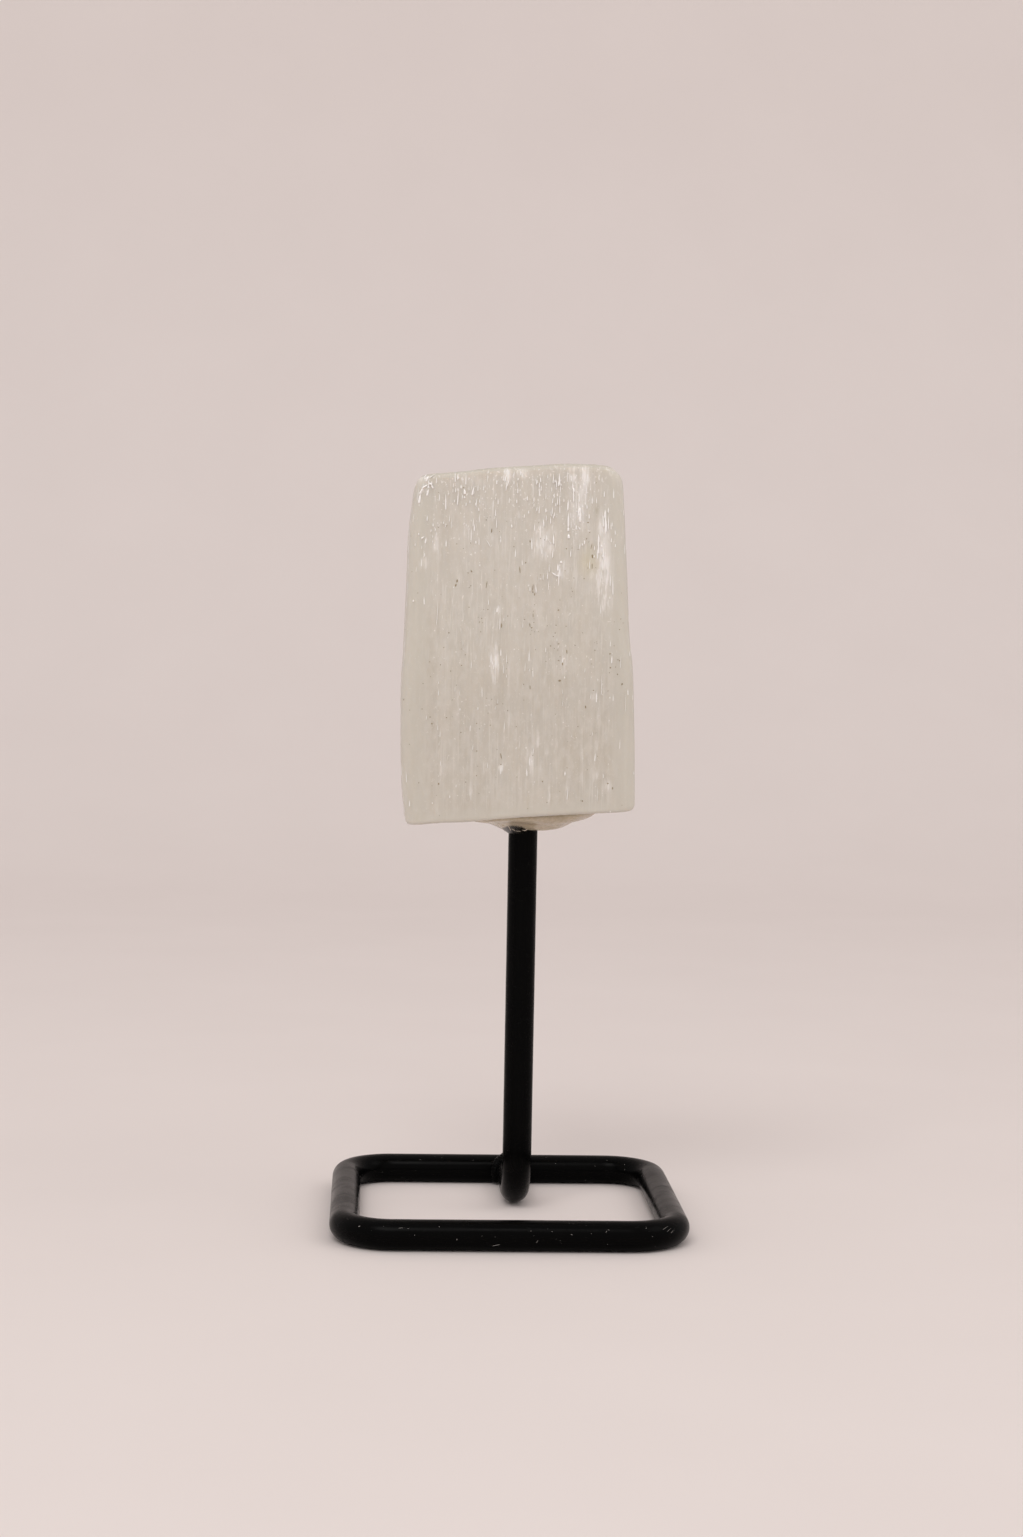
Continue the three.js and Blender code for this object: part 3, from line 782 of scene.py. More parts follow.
for share, paint in (
    (between(clouds, 0.35, 0.65, 0.0, 0.6), COOL),
    (between(mottle, 0.4, 0.7, 0.0, 0.35), THREAD),
    (threads, THREAD),
    (between(flecks, 0.58, 0.72, 0.0, 0.55), THREAD),
    (between(height, 84.0, 120.0, 0.0, 0.3), THREAD),
    # The rim colour: a polished edge, and painted light on the down-facing lower edge.
    (times(rim, 0.7), RIM),
    # Painted shade on the rounded top edge.
    (times(top_edge_shade, 0.75), TOP_EDGE_SHADE),
    (times(spot(tree, (11.9, -8.6, 111.6), (2.6, 5.0, 3.6)), 0.6), STAIN),
    (times(spot(tree, (12.8, -8.4, 120.2), (0.7, 5.0, 1.5)), 0.8), SMUDGE),
    (times(chalky, between(top_edge_shade, 0.0, 1.0, 1.0, 0.2)), SAWN),
    (white_sheen_and_glints, PEARL_WHITE_AND_SHEEN),
):
    colour = blend(share, colour, paint)
grain = noise(tree, (7.0, 7.0, 0.5), detail=3.0, roughness=0.6)
relief = bump(grain, 0.035, 0.55)
relief = bump(mottle, 0.12, 0.5, Normal=relief)
saw_lines = node(tree, "ShaderNodeTexWave", {
    "Vector": object_space(tree, (0.1, 1.0, 0.0)), "Scale": 0.55, "Distortion": 1.6, "Detail": 3.0,
}, bands_direction="DIAGONAL").outputs["Fac"]
relief = bump(times(chalk, sawn), 0.12, 0.8, Normal=relief)
relief = bump(times(saw_lines, sawn), 0.2, 0.8, Normal=relief)
plug(
    shader, Base_Color=colour, Normal=relief,
    Roughness=plus(between(bundles, 0.3, 0.7, 0.36, 0.48), times(sawn, 0.2)),
)
print("selenite has", len(tree.nodes), "nodes")

# %% [markdown]
# ## Fibres in relief
#
# The sides aren't flat: bundles of fibres stand at slightly different depths, and some ended in little
# steps when splinters came away. Three noises, all stretched along the fibres, are added up: wide bundles,
# terraces and fine threads. The terraces come from snapping a noise to a few levels. Their mean is taken
# off again, so that the stone keeps its CAD outline on average. The sawn ends are only ever pushed
# inwards, as they set the object's height.

# %% Fibre relief as a node tree
fibre_tree, inputs = geometry_tree("fibre_relief", {
    "Bundle depth": "Float", "Terrace depth": "Float", "Thread depth": "Float", "Mean depth": "Float",
    "Sawn depth": "Float", "Fibre stretch": "Float", "Material": "Material",
})


def stretched_noise(tree, per_mm, stretch, detail, shift):
    """Noise with this many grains per millimetre across the fibres, and fewer along them."""
    place = result(tree, "GeometryNodeInputPosition")
    per_metre = per_mm / MM
    along = result(tree, "ShaderNodeMath", {0: per_metre, 1: stretch}, operation="DIVIDE")
    factors = result(tree, "ShaderNodeCombineXYZ", {0: per_metre, 1: per_metre, 2: along})
    scaled = result(tree, "ShaderNodeVectorMath", {0: place, 1: factors}, operation="MULTIPLY")
    moved = result(tree, "ShaderNodeVectorMath", {0: scaled, 1: (shift,) * 3}, operation="ADD")
    return node(tree, "ShaderNodeTexNoise", {"Vector": moved, "Scale": 1.0, "Detail": detail}).outputs["Fac"]


TERRACE_LEVEL = 0.12
stretch = inputs["Fibre stretch"]
bundle = times(stretched_noise(fibre_tree, 0.42, stretch, 1.0, 3.1), inputs["Bundle depth"])
steps = calc("SNAP", stretched_noise(fibre_tree, 0.75, stretch, 2.0, 9.4), TERRACE_LEVEL)
terrace = times(steps, inputs["Terrace depth"])
thread = times(stretched_noise(fibre_tree, 2.2, stretch, 2.0, 5.7), inputs["Thread depth"])
side_depth = calc("SUBTRACT", plus(plus(bundle, terrace), thread), inputs["Mean depth"])
side_depth = times(side_depth, point_value(fibre_tree, "side"))
crumbs = stretched_noise(fibre_tree, 1.6, 1.0, 4.0, 1.3)
end_depth = times(times(crumbs, inputs["Sawn depth"]), point_value(fibre_tree, "sawn"))
depth = times(plus(side_depth, end_depth), -1.0)
finish_tree(fibre_tree, pushed_out(inputs["Geometry"], depth), inputs["Material"])

stone = grow(stone_blank, fibre_tree, "selenite_block", **{
    "Bundle depth": 0.3 * MM, "Terrace depth": 0.14 * MM, "Thread depth": 0.06 * MM, "Mean depth": 0.22 * MM,
    "Sawn depth": 0.16 * MM, "Fibre stretch": 22.0, "Material": selenite,
})
discard(stone_blank)
settle(stone, "selenite", "crystal")

# %% [markdown]
# ## Splinters and grains
#
# Two kinds of small things sit on the stone. White splinters are fibre ends that lifted and catch the
# light as short bright dashes, thickest where the stone is pearly. Their near-white colour is partly their
# own and partly painted glint. Brown grains are clay caught between the fibres. Both are many small copies
# on a surface, so one node tree does them: it spreads points over the surface, thins them out by an
# attribute, and turns each copy so that its length follows the fibres.

# %% Scatter tree
scatter_tree, inputs = geometry_tree("scatter_along_fibres", {
    "Per square metre": "Float", "Everywhere": "Float", "In pearl": "Float", "Smallest": "Vector",
    "Largest": "Vector", "Lean": "Float", "Seed": "Int", "Shape": "Object", "Material": "Material",
})
weight = plus(times(point_value(scatter_tree, "pearl"), inputs["In pearl"]), inputs["Everywhere"])
weight = times(weight, point_value(scatter_tree, "side"))
spread = node(scatter_tree, "GeometryNodeDistributePointsOnFaces", {
    "Mesh": inputs["Geometry"], "Density": times(weight, inputs["Per square metre"]), "Seed": inputs["Seed"],
}, distribute_method="RANDOM")
to_normal = result(scatter_tree, "FunctionNodeAlignRotationToVector", {
    "Vector": spread.outputs["Normal"],
}, axis="Y")
upright = result(scatter_tree, "FunctionNodeAlignRotationToVector", {
    "Rotation": to_normal, "Vector": (0.0, 0.0, 1.0),
}, axis="Z", pivot_axis="Y")
lean = random_value(times(inputs["Lean"], -1.0), inputs["Lean"], inputs["Seed"])
turn = result(scatter_tree, "ShaderNodeCombineXYZ", {1: lean})
turned = result(scatter_tree, "FunctionNodeRotateRotation", {
    "Rotation": upright, "Rotate By": turn,
}, rotation_space="LOCAL")
scale = result(scatter_tree, "FunctionNodeRandomValue", {
    0: inputs["Smallest"], 1: inputs["Largest"], "Seed": inputs["Seed"],
}, data_type="FLOAT_VECTOR")
shape = node(scatter_tree, "GeometryNodeObjectInfo", {"Object": inputs["Shape"]}).outputs["Geometry"]
copies = copies_on(spread.outputs["Points"], shape, turned, scale)
finish_tree(scatter_tree, copies, inputs["Material"])

# %% [markdown]
# A splinter is a thin prism with a point at each end. Its upper point is long, so that a lifted face
# slopes up towards the light and glints. A grain is the same thing made short and squat. A few faces are
# enough, because each is repeated so often. Both are drawn one millimetre in size, and the tree scales
# each copy.

# %% Splinters and grains
# The splinters' near-white colour is partly their own and partly painted glint.
pearl_glint = mottled(
    "pearl_splinter_glint", (0.94, 0.922, 0.895), (1.0, 0.99, 0.975), (9.0, 9.0, 0.9),
    relief=(0.02, 0.5), Roughness=0.25, Specular_IOR_Level=0.8,
)
clay = mottled(
    "clay_grain", (0.23, 0.18, 0.1), (0.4, 0.33, 0.22), (6.0, 6.0, 6.0),
    detail=3.0, relief=(0.03, 0.6), Roughness=0.7,
)


def sliver(name, sides, low, high):
    """A closed prism one millimetre long along Z and one across, pointed beyond its two shoulders."""
    angles = [2 * math.pi * i / sides for i in range(sides)]
    points = [(0.5 * math.cos(a), 0.5 * math.sin(a), z) for z in (low, high) for a in angles]
    points += [(0, 0, -0.5), (0, 0, 0.5)]
    faces = [(i, (i + 1) % sides, sides + (i + 1) % sides, sides + i) for i in range(sides)]
    faces += [((i + 1) % sides, i, 2 * sides) for i in range(sides)]
    faces += [(sides + i, sides + (i + 1) % sides, 2 * sides + 1) for i in range(sides)]
    return mesh_object(name, points, faces)


splinter_shape = sliver("splinter_shape", 5, -0.4, 0.05)
grain_shape = sliver("grain_shape", 6, -0.22, 0.22)


def scatter(name, host, slot, shape, material, seed, smallest, largest, lean, everywhere, in_pearl=0.0):
    """Spreads copies over a piece: so many per square millimetre, and more where it is pearly."""
    made = grow(host, scatter_tree, name, **{
        "Per square metre": 1.0e6, "Everywhere": everywhere, "In pearl": in_pearl, "Smallest": smallest,
        "Largest": largest, "Lean": lean, "Seed": seed, "Shape": shape, "Material": material,
    })
    settle(made, slot)


scatter("pearly_splinters", stone, "selenite", splinter_shape, pearl_glint, 11,
        (0.07, 0.05, 0.3), (0.19, 0.1, 2.2), 0.06, everywhere=0.014, in_pearl=0.6)
scatter("clay_grains", stone, "selenite", grain_shape, clay, 4,
        (0.07, 0.04, 0.08), (0.16, 0.08, 0.24), 0.9, everywhere=0.03)

# %% [markdown]
# The marks that give this stone its face are placed one by one, each as x and z on the front, a length and
# a width in millimetres, and some with a lean in degrees. The crowd between them is drawn by chance in a
# few ellipses. A ray from the front finds the surface at every place, and a second small tree sets a copy
# there with the size stored on its point.

# %% Placed splinters and grains
FRONT_SPLINTERS = (
    (-12.3, 121.1, 2.9, 0.19), (-10.3, 121.7, 2.4, 0.19), (-9.2, 122.8, 0.9, 0.34), (-9.2, 121.9, 0.4, 0.24),
    (-9.8, 123.6, 0.6, 0.22), (-10.8, 125.2, 1.8, 0.17), (-10.4, 125.2, 1.1, 0.17), (-7.5, 116.9, 1.3, 0.2),
    (-7.2, 114.5, 0.5, 0.21), (-3.9, 124.5, 0.8, 0.2), (-4, 119.5, 1.4, 0.15), (-3.8, 117.8, 1.9, 0.11),
    (-1.3, 117.3, 0.6, 0.2), (5.5, 125.3, 1.8, 0.16), (6.5, 125.2, 2.1, 0.24), (6.6, 121.7, 1.8, 0.15),
    (8.7, 124.2, 1.3, 0.15), (8.9, 122.6, 2.4, 0.21), (7.8, 125.7, 2.1, 0.12), (8, 121, 2, 0.22),
    (8.1, 118.5, 2.6, 0.26), (8.1, 117, 0.8, 0.28), (8.2, 115.8, 0.8, 0.35), (8.6, 113, 1.4, 0.16),
    (5.7, 115.3, 1.8, 0.22), (5.6, 112.8, 1.4, 0.15), (10.1, 119.3, 2, 0.28), (10, 120.2, 0.8, 0.3),
    (8.9, 123.5, 0.8, 0.3), (11, 123.6, 1.8, 0.16), (14.3, 118.2, 4.1, 0.22), (14.2, 119.6, 1.5, 0.28),
    (14.4, 117.5, 2, 0.3), (14.8, 118.2, 2.6, 0.15), (13.2, 114.5, 3.3, 0.2), (13.2, 115.5, 1.5, 0.25),
    (13.2, 113.5, 1, 0.22), (13.7, 114.3, 0.5, 0.25), (16, 114.4, 0.6, 0.16), (7, 111.5, 0.5, 0.3),
    (6.5, 110.6, 1.3, 0.27), (6.7, 109.5, 4.1, 0.15), (5, 107.6, 1.8, 0.11), (15.7, 107.8, 3.4, 0.16),
    (-17.4, 104.6, 0.4, 0.21), (-13.4, 102.7, 4.4, 0.1), (-3.5, 103.3, 0.8, 0.22), (-3, 101.5, 3.1, 0.11),
    (-2.3, 93.7, 1.8, 0.12), (-1.8, 95.4, 2.1, 0.12), (1.3, 94, 1.6, 0.12), (15.7, 95.5, 1.4, 0.21),
    (17.2, 95.2, 2.3, 0.1), (14.1, 91.7, 2.8, 0.11), (18.1, 88.6, 3.8, 0.09), (-6.4, 87, 0.5, 0.21),
    (-13, 83.7, 1.1, 0.17), (8.3, 76.4, 0.8, 0.26), (14.7, 76.1, 0.9, 0.17), (8.8, 73.2, 2.6, 0.14),
    (13.8, 73.1, 2.9, 0.1), (-7.3, 72.9, 2.6, 0.11), (-13.7, 71.1, 0.4, 0.2), (16, 70.1, 0.3, 0.2),
)
LEANING_SPLINTERS = (
    (-16.6, 121.6, 1.9, 0.42, 8), (-16.3, 122.9, 1.5, 0.3, 30), (-15.7, 123.6, 1.3, 0.26, 60),
    (-14.8, 124, 0.6, 0.3, 88), (-14.6, 123.6, 0.9, 0.26, -25), (-15.3, 122.6, 1.3, 0.34, 14),
    (-15.2, 123.5, 0.5, 0.34, 0), (-15.4, 124.8, 1.1, 0.32, 26), (-15.7, 125.3, 0.7, 0.24, 32),
    (-14.6, 125.3, 1.2, 0.14, 52), (-13.9, 124.6, 1.1, 0.2, 0), (5.8, 109.5, 0.9, 0.26, -52),
    (6.4, 109.2, 0.7, 0.24, -80), (6.8, 109.8, 0.9, 0.2, 4), (9.8, 119.9, 1.6, 0.32, -5),
    (10, 118.7, 1.2, 0.3, -10), (5, 114.9, 1.3, 0.13, -30), (-7.8, 123, 1.7, 0.3, 13),
    (-5.2, 114.5, 1.8, 0.14, -32), (-15.5, 114.6, 1.1, 0.26, 10), (-16, 115.1, 0.7, 0.24, 55),
    (-2.4, 125.3, 1.6, 0.24, 14), (-2, 124.4, 1.2, 0.2, 16), (9.9, 117.2, 0.6, 0.2, -20),
)
FRONT_GRAINS = (
    (-12.1, 117.1, 0.24, 0.25), (-4.6, 116.4, 0.9, 0.16), (11.4, 118.1, 0.24, 0.24),
    (11.7, 116.5, 0.2, 0.18), (12.2, 112.5, 0.75, 0.24), (12, 114.1, 1.2, 0.1), (12.2, 110.8, 1.2, 0.11),
    (1.8, 114.8, 0.45, 0.18), (-10.2, 108, 0.6, 0.25), (-10.4, 107.3, 0.5, 0.25), (-7.8, 109.6, 0.22, 0.21),
    (-5.3, 107.4, 1.5, 0.11), (2.4, 107.1, 1.35, 0.11), (2.4, 106.4, 0.24, 0.23), (2.7, 106, 0.5, 0.13),
    (2.5, 102.5, 0.75, 0.11), (2, 100.9, 0.9, 0.13), (2.3, 100.5, 0.2, 0.28), (0.2, 110, 1.35, 0.14),
    (-2.7, 100.7, 1, 0.14), (-11.4, 99.4, 0.2, 0.3), (6.7, 103.5, 0.2, 0.28), (6.8, 97.9, 0.15, 0.34),
    (8.2, 96.6, 0.8, 0.16), (7.5, 94.6, 0.6, 0.17), (7.1, 91.8, 0.33, 0.42), (15.4, 96.4, 0.33, 0.23),
    (15.5, 94.1, 0.27, 0.25), (17.5, 91.4, 0.45, 0.23), (2.2, 90.6, 0.75, 0.13), (11.5, 87.5, 0.6, 0.18),
    (-18.7, 88.2, 0.3, 0.18), (-14, 84.3, 0.24, 0.28), (-14.3, 85.4, 0.18, 0.25), (-2.4, 79.1, 1.2, 0.13),
    (-2.4, 77.7, 0.18, 0.25), (-12.7, 74.3, 0.36, 0.24), (15.5, 74.8, 0.22, 0.28), (16.3, 74, 0.45, 0.2),
    (11.3, 71.8, 0.3, 0.2),
)
SPLINTER_CROWDS = (
    (-11.5, 121, 5.5, 4.5, 24, 1.3, 0.17), (0, 122.5, 4.5, 4, 18, 1.2, 0.18),
    (4.6, 121.8, 2.8, 4, 30, 1.5, 0.19), (13, 117.5, 3.8, 6.5, 16, 1.1, 0.2),
    (-15.5, 114.5, 2.2, 3, 8, 0.7, 0.16), (4.5, 108, 2, 3.5, 8, 1.8, 0.12), (-1, 90, 16, 18, 34, 1.2, 0.15),
)
GRAIN_CROWDS = (
    (-9.5, 108.5, 2.8, 2.5, 5, 0.22, 0.18), (-5.8, 101.8, 1.8, 1, 4, 0.25, 0.17),
    (2.5, 102, 0.6, 5, 6, 0.28, 0.16), (7, 97, 1.6, 7, 8, 0.34, 0.22), (16.5, 97, 1.6, 6, 8, 0.32, 0.2),
    (0, 96, 17, 27, 64, 0.28, 0.2),
)


def crowd(zones, chance, lean):
    """Marks by chance in ellipses of x, z, half width, half height, count, greatest length and width."""
    marks = []
    for x, z, half_width, half_height, count, longest, widest in zones:
        for _ in range(count):
            angle = chance.uniform(0, 2 * math.pi)
            reach = math.sqrt(chance.random())
            length = longest * chance.uniform(0.3, 1)
            width = widest * chance.uniform(0.6, 1)
            across, up_by = half_width * reach * math.cos(angle), half_height * reach * math.sin(angle)
            marks.append((x + across, z + up_by, length, width, chance.uniform(-lean, lean)))
    return marks


placed_tree, inputs = geometry_tree("placed_copies", {"Shape": "Object", "Material": "Material"})
size = point_value(placed_tree, "size", "FLOAT_VECTOR")
turn = result(placed_tree, "ShaderNodeCombineXYZ", {1: point_value(placed_tree, "lean")})
shape = node(placed_tree, "GeometryNodeObjectInfo", {"Object": inputs["Shape"]}).outputs["Geometry"]
spots = result(placed_tree, "GeometryNodeMeshToPoints", {"Mesh": inputs["Geometry"]})
copies = copies_on(spots, shape, turn, size)
finish_tree(placed_tree, copies, inputs["Material"])


def place_on_front(name, marks, skin, thickness, proud, shape, material, slot):
    """Sets a copy at each x, z, length, width and lean in degrees, where a ray meets the skin."""
    tree = BVHTree.FromObject(skin, bpy.context.evaluated_depsgraph_get())
    points, sizes, leans = [], [], []
    for x, z, length, width, lean in marks:
        hit = tree.ray_cast(Vector((x, -50, z)) * MM, Vector((0, 1, 0)))[0]
        if hit is not None:
            points.append(hit / MM - Vector((0, proud, 0)))
            sizes += [width, thickness, length]
            leans.append(math.radians(lean))
    guide = mesh_object(name + "_spots", points)
    store(guide, "size", sizes, "FLOAT_VECTOR")
    store(guide, "lean", leans)
    made = grow(guide, placed_tree, name, Shape=shape, Material=material)
    discard(guide)
    settle(made, slot)


WIDENING, WIDENING_HEIGHTS = (0.85, 1.3), (84, 104)
chance = random.Random(8)
splinter_marks = [(*mark, chance.uniform(-3, 3)) for mark in FRONT_SPLINTERS]
splinter_marks += crowd(SPLINTER_CROWDS, chance, 4)
splinter_marks = [
    (x, z, length, width * mix(*WIDENING, float(smooth_step(*WIDENING_HEIGHTS, z))), lean)
    for x, z, length, width, lean in splinter_marks
]
splinter_marks += LEANING_SPLINTERS
grain_marks = [(*mark, chance.uniform(-15, 15)) for mark in FRONT_GRAINS]
grain_marks += crowd(GRAIN_CROWDS, chance, 40)
place_on_front("front_splinters", splinter_marks, stone, 0.34, 0.1, splinter_shape, pearl_glint, "selenite")
place_on_front("front_grains", grain_marks, stone, 0.1, 0.0, grain_shape, clay, "selenite")
discard(grain_shape)

# %% [markdown]
# ## The glue
#
# The post was set in its hole with plenty of glue, and the rest came out under the stone: a thick blunt
# tongue to the right that ends in a thin wafer, and to the left a thin skin that climbs down the post in a
# meniscus. It is a collar made of rings round the post. The resin has set cloudy, so light mostly scatters
# in it and only a little goes through. Next to the post, where it is a thin skin on the black coat, and in
# a band that reaches out to the left front, it is painted nearly black, and an attribute says where that is.

# %% Glue material
glue_resin, tree, shader = surface(
    "glue_resin", (0.6, 0.48, 0.34), IOR=1.5, Roughness=0.2,
    Subsurface_Radius=(1.0, 0.8, 0.55), Subsurface_Scale=1.0 * MM,
)
haze = between(noise(tree, (2.2, 2.2, 2.2), detail=5.0, roughness=0.65), 0.32, 0.68)
broad = between(noise(tree, (0.3, 0.3, 0.5), detail=2.0, place=(4, 0, 1)), 0.35, 0.65)
speckle = noise(tree, (5.0, 5.0, 3.0), detail=3.0, roughness=0.7)
# Nearly black next to the post and in a band out to the left front.
black_mask = between(plus(attribute(tree, "clear"), times(speckle, 0.7)), 0.75, 1.05)
resin_here = between(black_mask, 0.0, 1.0, 1.0, 0.0)
tan = blend(haze, (0.47, 0.395, 0.28), (0.6, 0.52, 0.395))
tan = blend(times(broad, 0.5), tan, (0.47, 0.395, 0.29))
wrinkles = bump(noise(tree, (0.6, 0.6, 1.2), detail=2.0, distortion=0.6), 0.12, 0.4)
plug(
    shader,
    Base_Color=blend(black_mask, tan, (0.01, 0.009, 0.007)),
    Transmission_Weight=times(resin_here, between(haze, 0.0, 1.0, 0.05, 0.02)),
    Subsurface_Weight=between(black_mask, 0.0, 1.0, 0.5, 0.0),
    Normal=bump(haze, 0.05, 0.5, Normal=wrinkles),
)

# %% Glue collar
GLUE_SECTORS, GLUE_RINGS = 144, 34
GLUE_REACH = {"right": 12.1, "left": 10.6, "front": 10.3, "back": 8.8}
GLUE_COLLAR, GLUE_RIM = 2.6, 0.8
GLUE_LOBE = {"thick": 0.75, "wafer": 1.35}
GLUE_STEP = (0.42, 0.66)
GLUE_OVER_COAT = 0.04
GLUE_INTO_STONE = 0.1


def glue_reach(angle):
    """How far the glue spreads from the post's axis in a direction."""
    across = GLUE_REACH["right" if math.cos(angle) > 0 else "left"]
    deep = GLUE_REACH["back" if math.sin(angle) > 0 else "front"]
    lumps = 1 + 0.05 * math.sin(3 * angle + 0.8) + 0.03 * math.sin(7 * angle)
    return lumps / math.hypot(math.cos(angle) / across, math.sin(angle) / deep)


def glue_thickness(angle, share):
    """How thick it is, from the collar at the post to the rim."""
    rightward = float(smooth_step(0.3, 0.8, 0.5 + 0.5 * math.cos(angle)))
    meniscus = GLUE_COLLAR * (1 - share) ** 2.4
    lobe = GLUE_LOBE["thick"] * (1 - float(smooth_step(*GLUE_STEP, share)))
    lobe += GLUE_LOBE["wafer"] * math.sqrt(1 - share**4)
    runs = 0.07 * math.sin(9 * share + 2 * math.sin(2 * angle)) * (1 - share)
    rim = GLUE_RIM * math.sqrt(max(1 - share**6, 0.0))
    return rim + mix(meniscus, lobe, rightward) + runs


def glue_rings():
    made = []
    for sector in range(GLUE_SECTORS):
        angle = 2 * math.pi * sector / GLUE_SECTORS
        out = glue_reach(angle)
        over, below = [], []
        for i in range(GLUE_RINGS + 1):
            share = i / GLUE_RINGS
            radius = mix(BAR_RADIUS - GLUE_OVER_COAT, out, share)
            x, y = post_x + radius * math.cos(angle), post_y + radius * math.sin(angle)
            under = float(height_at(UNDER, x))
            over.append((x, y, under + GLUE_INTO_STONE))
            below.append((x, y, under - glue_thickness(angle, share)))
        made.append(np.array([*over, *reversed(below[:-1])]))
    return made


def closed_collar(name, rings):
    """A ring-shaped skin: the rings follow each other round and meet again."""
    count, rows = len(rings[0]), len(rings)
    faces = []
    for row in range(rows):
        low, high = row * count, ((row + 1) % rows) * count
        faces += [(low + i, high + i, high + (i + 1) % count, low + (i + 1) % count) for i in range(count)]
    return mesh_object(name, np.concatenate(rings), faces)


glue = closed_collar("glue_collar", glue_rings())
from_axis = read_points(glue)[:, :2] / MM - (post_x, post_y)
from_post = np.linalg.norm(from_axis, axis=1)
leftward = smooth_step(0.2, 0.6, 0.5 - 0.5 * from_axis[:, 0] / from_post)
frontward = np.clip(-from_axis[:, 1] / from_post, 0, 1)
# Where the glue is painted nearly black: next to the post, and further out towards the left front.
BLACK_FROM, BLACK_TO, BLACK_IN_FRONT = BAR_RADIUS + 0.1, BAR_RADIUS + 0.9, 5.0
black_share = 1 - smooth_step(BLACK_FROM, BLACK_TO + BLACK_IN_FRONT * leftward * frontward, from_post)
store(glue, "clear", black_share)
glue.data.materials.append(glue_resin)
glue.data.shade_smooth()
settle(glue, "glue", "glue")

# %% [markdown]
# When the tube was pulled away, the glue drew out into threads, and they lie over the black coat. Each is
# one more placed sliver, this time on the glue's skin.

# %% Glue threads
thread_resin = mottled("glue_thread", (0.6, 0.5, 0.38), (0.85, 0.78, 0.68), (4, 4, 4), Roughness=0.25)
GLUE_THREADS = (
    (-2.3, 67.2, 0.9, 0.1, -40), (-1.6, 66.9, 1, 0.12, -48), (-0.5, 66.7, 1.6, 0.1, -28),
    (0.2, 66.2, 1, 0.12, -62), (1.1, 65.9, 1.1, 0.1, -88), (2.6, 66.3, 1.1, 0.14, 62),
    (2, 66.1, 0.7, 0.1, -80),
)
place_on_front("glue_threads", GLUE_THREADS, glue, 0.12, 0.03, splinter_shape, thread_resin, "glue")

# %% [markdown]
# ## Dust and lint on the stand
#
# A black bar shows every speck. Dust grains are scattered over it by the same tree, with an attribute on
# the bar that says where they may lie, and a few short lint hairs are placed one by one.

# %% Dust and lint
dust_white = mottled("dust", (0.16, 0.155, 0.145), (0.5, 0.475, 0.45), (3, 3, 3), Roughness=0.9)


def mark_upper_side(piece):
    """Lets the scatter tree use points of a bar that face upwards or forwards."""
    facing_y, facing_z = read_points(piece, "normal").T[1:]
    share = np.clip(facing_z, 0, 1) + 0.5 * np.clip(-facing_y, 0, 1)
    store(piece, "side", np.clip(share, 0, 1))
    store(piece, "pearl", np.zeros(len(share)))


mark_upper_side(base_loop)
dust_shape = sliver("dust_shape", 5, -0.2, 0.2)
scatter("stand_dust", base_loop, "black_coat", dust_shape, dust_white, 21,
        (0.03, 0.02, 0.03), (0.11, 0.04, 0.16), 1.5, everywhere=0.09)
FRONT_LINT = (
    (-24.6, 3.9, 0.5, 0.16, 80), (-18.2, 4, 1.3, 0.07, 84), (-16.9, 3.9, 0.6, 0.06, 60),
    (15, 3.6, 0.9, 0.07, 22), (15.5, 3.9, 0.7, 0.06, -35), (-2.2, 1.5, 2.2, 0.06, 78),
    (4, 2.2, 0.7, 0.06, 40), (-9, 2.4, 0.4, 0.08, 10), (24.4, 3.8, 2.4, 0.05, 55), (25.1, 3.4, 2, 0.05, 48),
    (25.8, 3.1, 1.8, 0.05, 40), (9.5, 3.2, 0.5, 0.09, -60),
)
place_on_front("front_lint", FRONT_LINT, base_loop, 0.04, -0.01, splinter_shape, dust_white, "black_coat")
discard(dust_shape, splinter_shape)

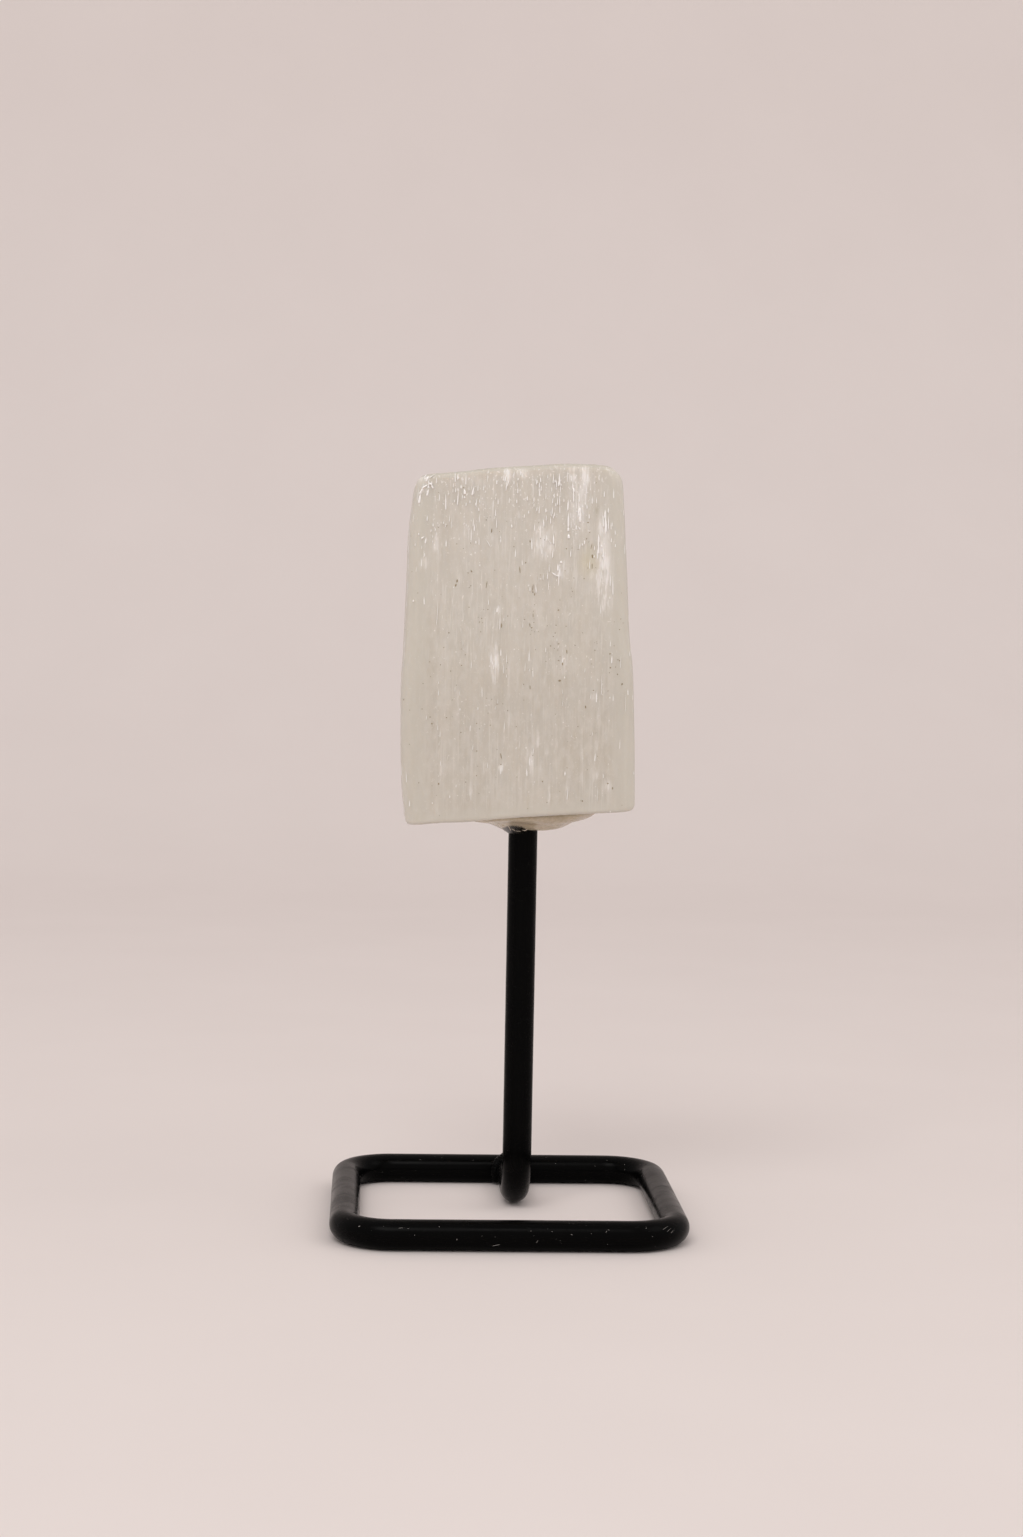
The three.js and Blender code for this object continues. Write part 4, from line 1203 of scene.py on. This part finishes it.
# %% [markdown]
# ## Floor, backdrop and light
#
# The stage is plain: a pale sheet that lies flat and curves up behind, so the camera sees no horizon line.
# A large soft light from the front and above shapes the bars with one broad highlight, a second one fills
# from the right, and a pale sky gives the rest.

# %% Stage
paper = mottled("paper", (0.77, 0.71, 0.69), (0.8, 0.74, 0.72), (0.02, 0.02, 0.02), Roughness=0.75)

SWEEP_WIDTH, SWEEP_NEAR, SWEEP_FAR, SWEEP_BEND, SWEEP_TOP = 2400, -900, 500, 350, 1500
profile = [(SWEEP_NEAR, 0.0), (SWEEP_FAR, 0.0)]
profile += [
    (SWEEP_FAR + SWEEP_BEND * math.sin(a), SWEEP_BEND * (1 - math.cos(a)))
    for a in np.linspace(0, math.pi / 2, 25)[1:]
]
profile.append((SWEEP_FAR + SWEEP_BEND, SWEEP_TOP))
sheet_points = [(side * SWEEP_WIDTH / 2, y, z) for y, z in profile for side in (-1, 1)]
sheet_faces = [(2 * i, 2 * i + 1, 2 * i + 3, 2 * i + 2) for i in range(len(profile) - 1)]
backdrop = mesh_object("backdrop", sheet_points, sheet_faces)
backdrop.data.materials.append(paper)
backdrop.data.shade_smooth()


def soft_light(name, place, aim, size, power, colour):
    """A square area light, placed and aimed in millimetres."""
    lamp = bpy.data.lights.new(name, "AREA")
    lamp.shape = "RECTANGLE"
    lamp.size, lamp.size_y = size[0] * MM, size[1] * MM
    lamp.energy = power
    lamp.color = colour
    made = bpy.data.objects.new(name, lamp)
    made.location = Vector(place) * MM
    made.rotation_euler = (Vector(aim) - Vector(place)).to_track_quat("-Z", "Y").to_euler()
    bpy.context.scene.collection.objects.link(made)


AIM = (0, 0, 60)
WARM_WHITE = (1.0, 0.97, 0.95)
soft_light("key", (-250, -700, 1000), AIM, (620, 420), 3.8, WARM_WHITE)
soft_light("fill", (800, -300, 900), AIM, (600, 600), 1.2, WARM_WHITE)

world = bpy.data.worlds.new("sky")
world.use_nodes = True
sky = world.node_tree.nodes["Background"].inputs
sky["Color"].default_value = (0.9, 0.85, 0.83, 1.0)
sky["Strength"].default_value = 0.81
bpy.context.scene.world = world
bpy.context.scene.view_settings.view_transform = "Standard"
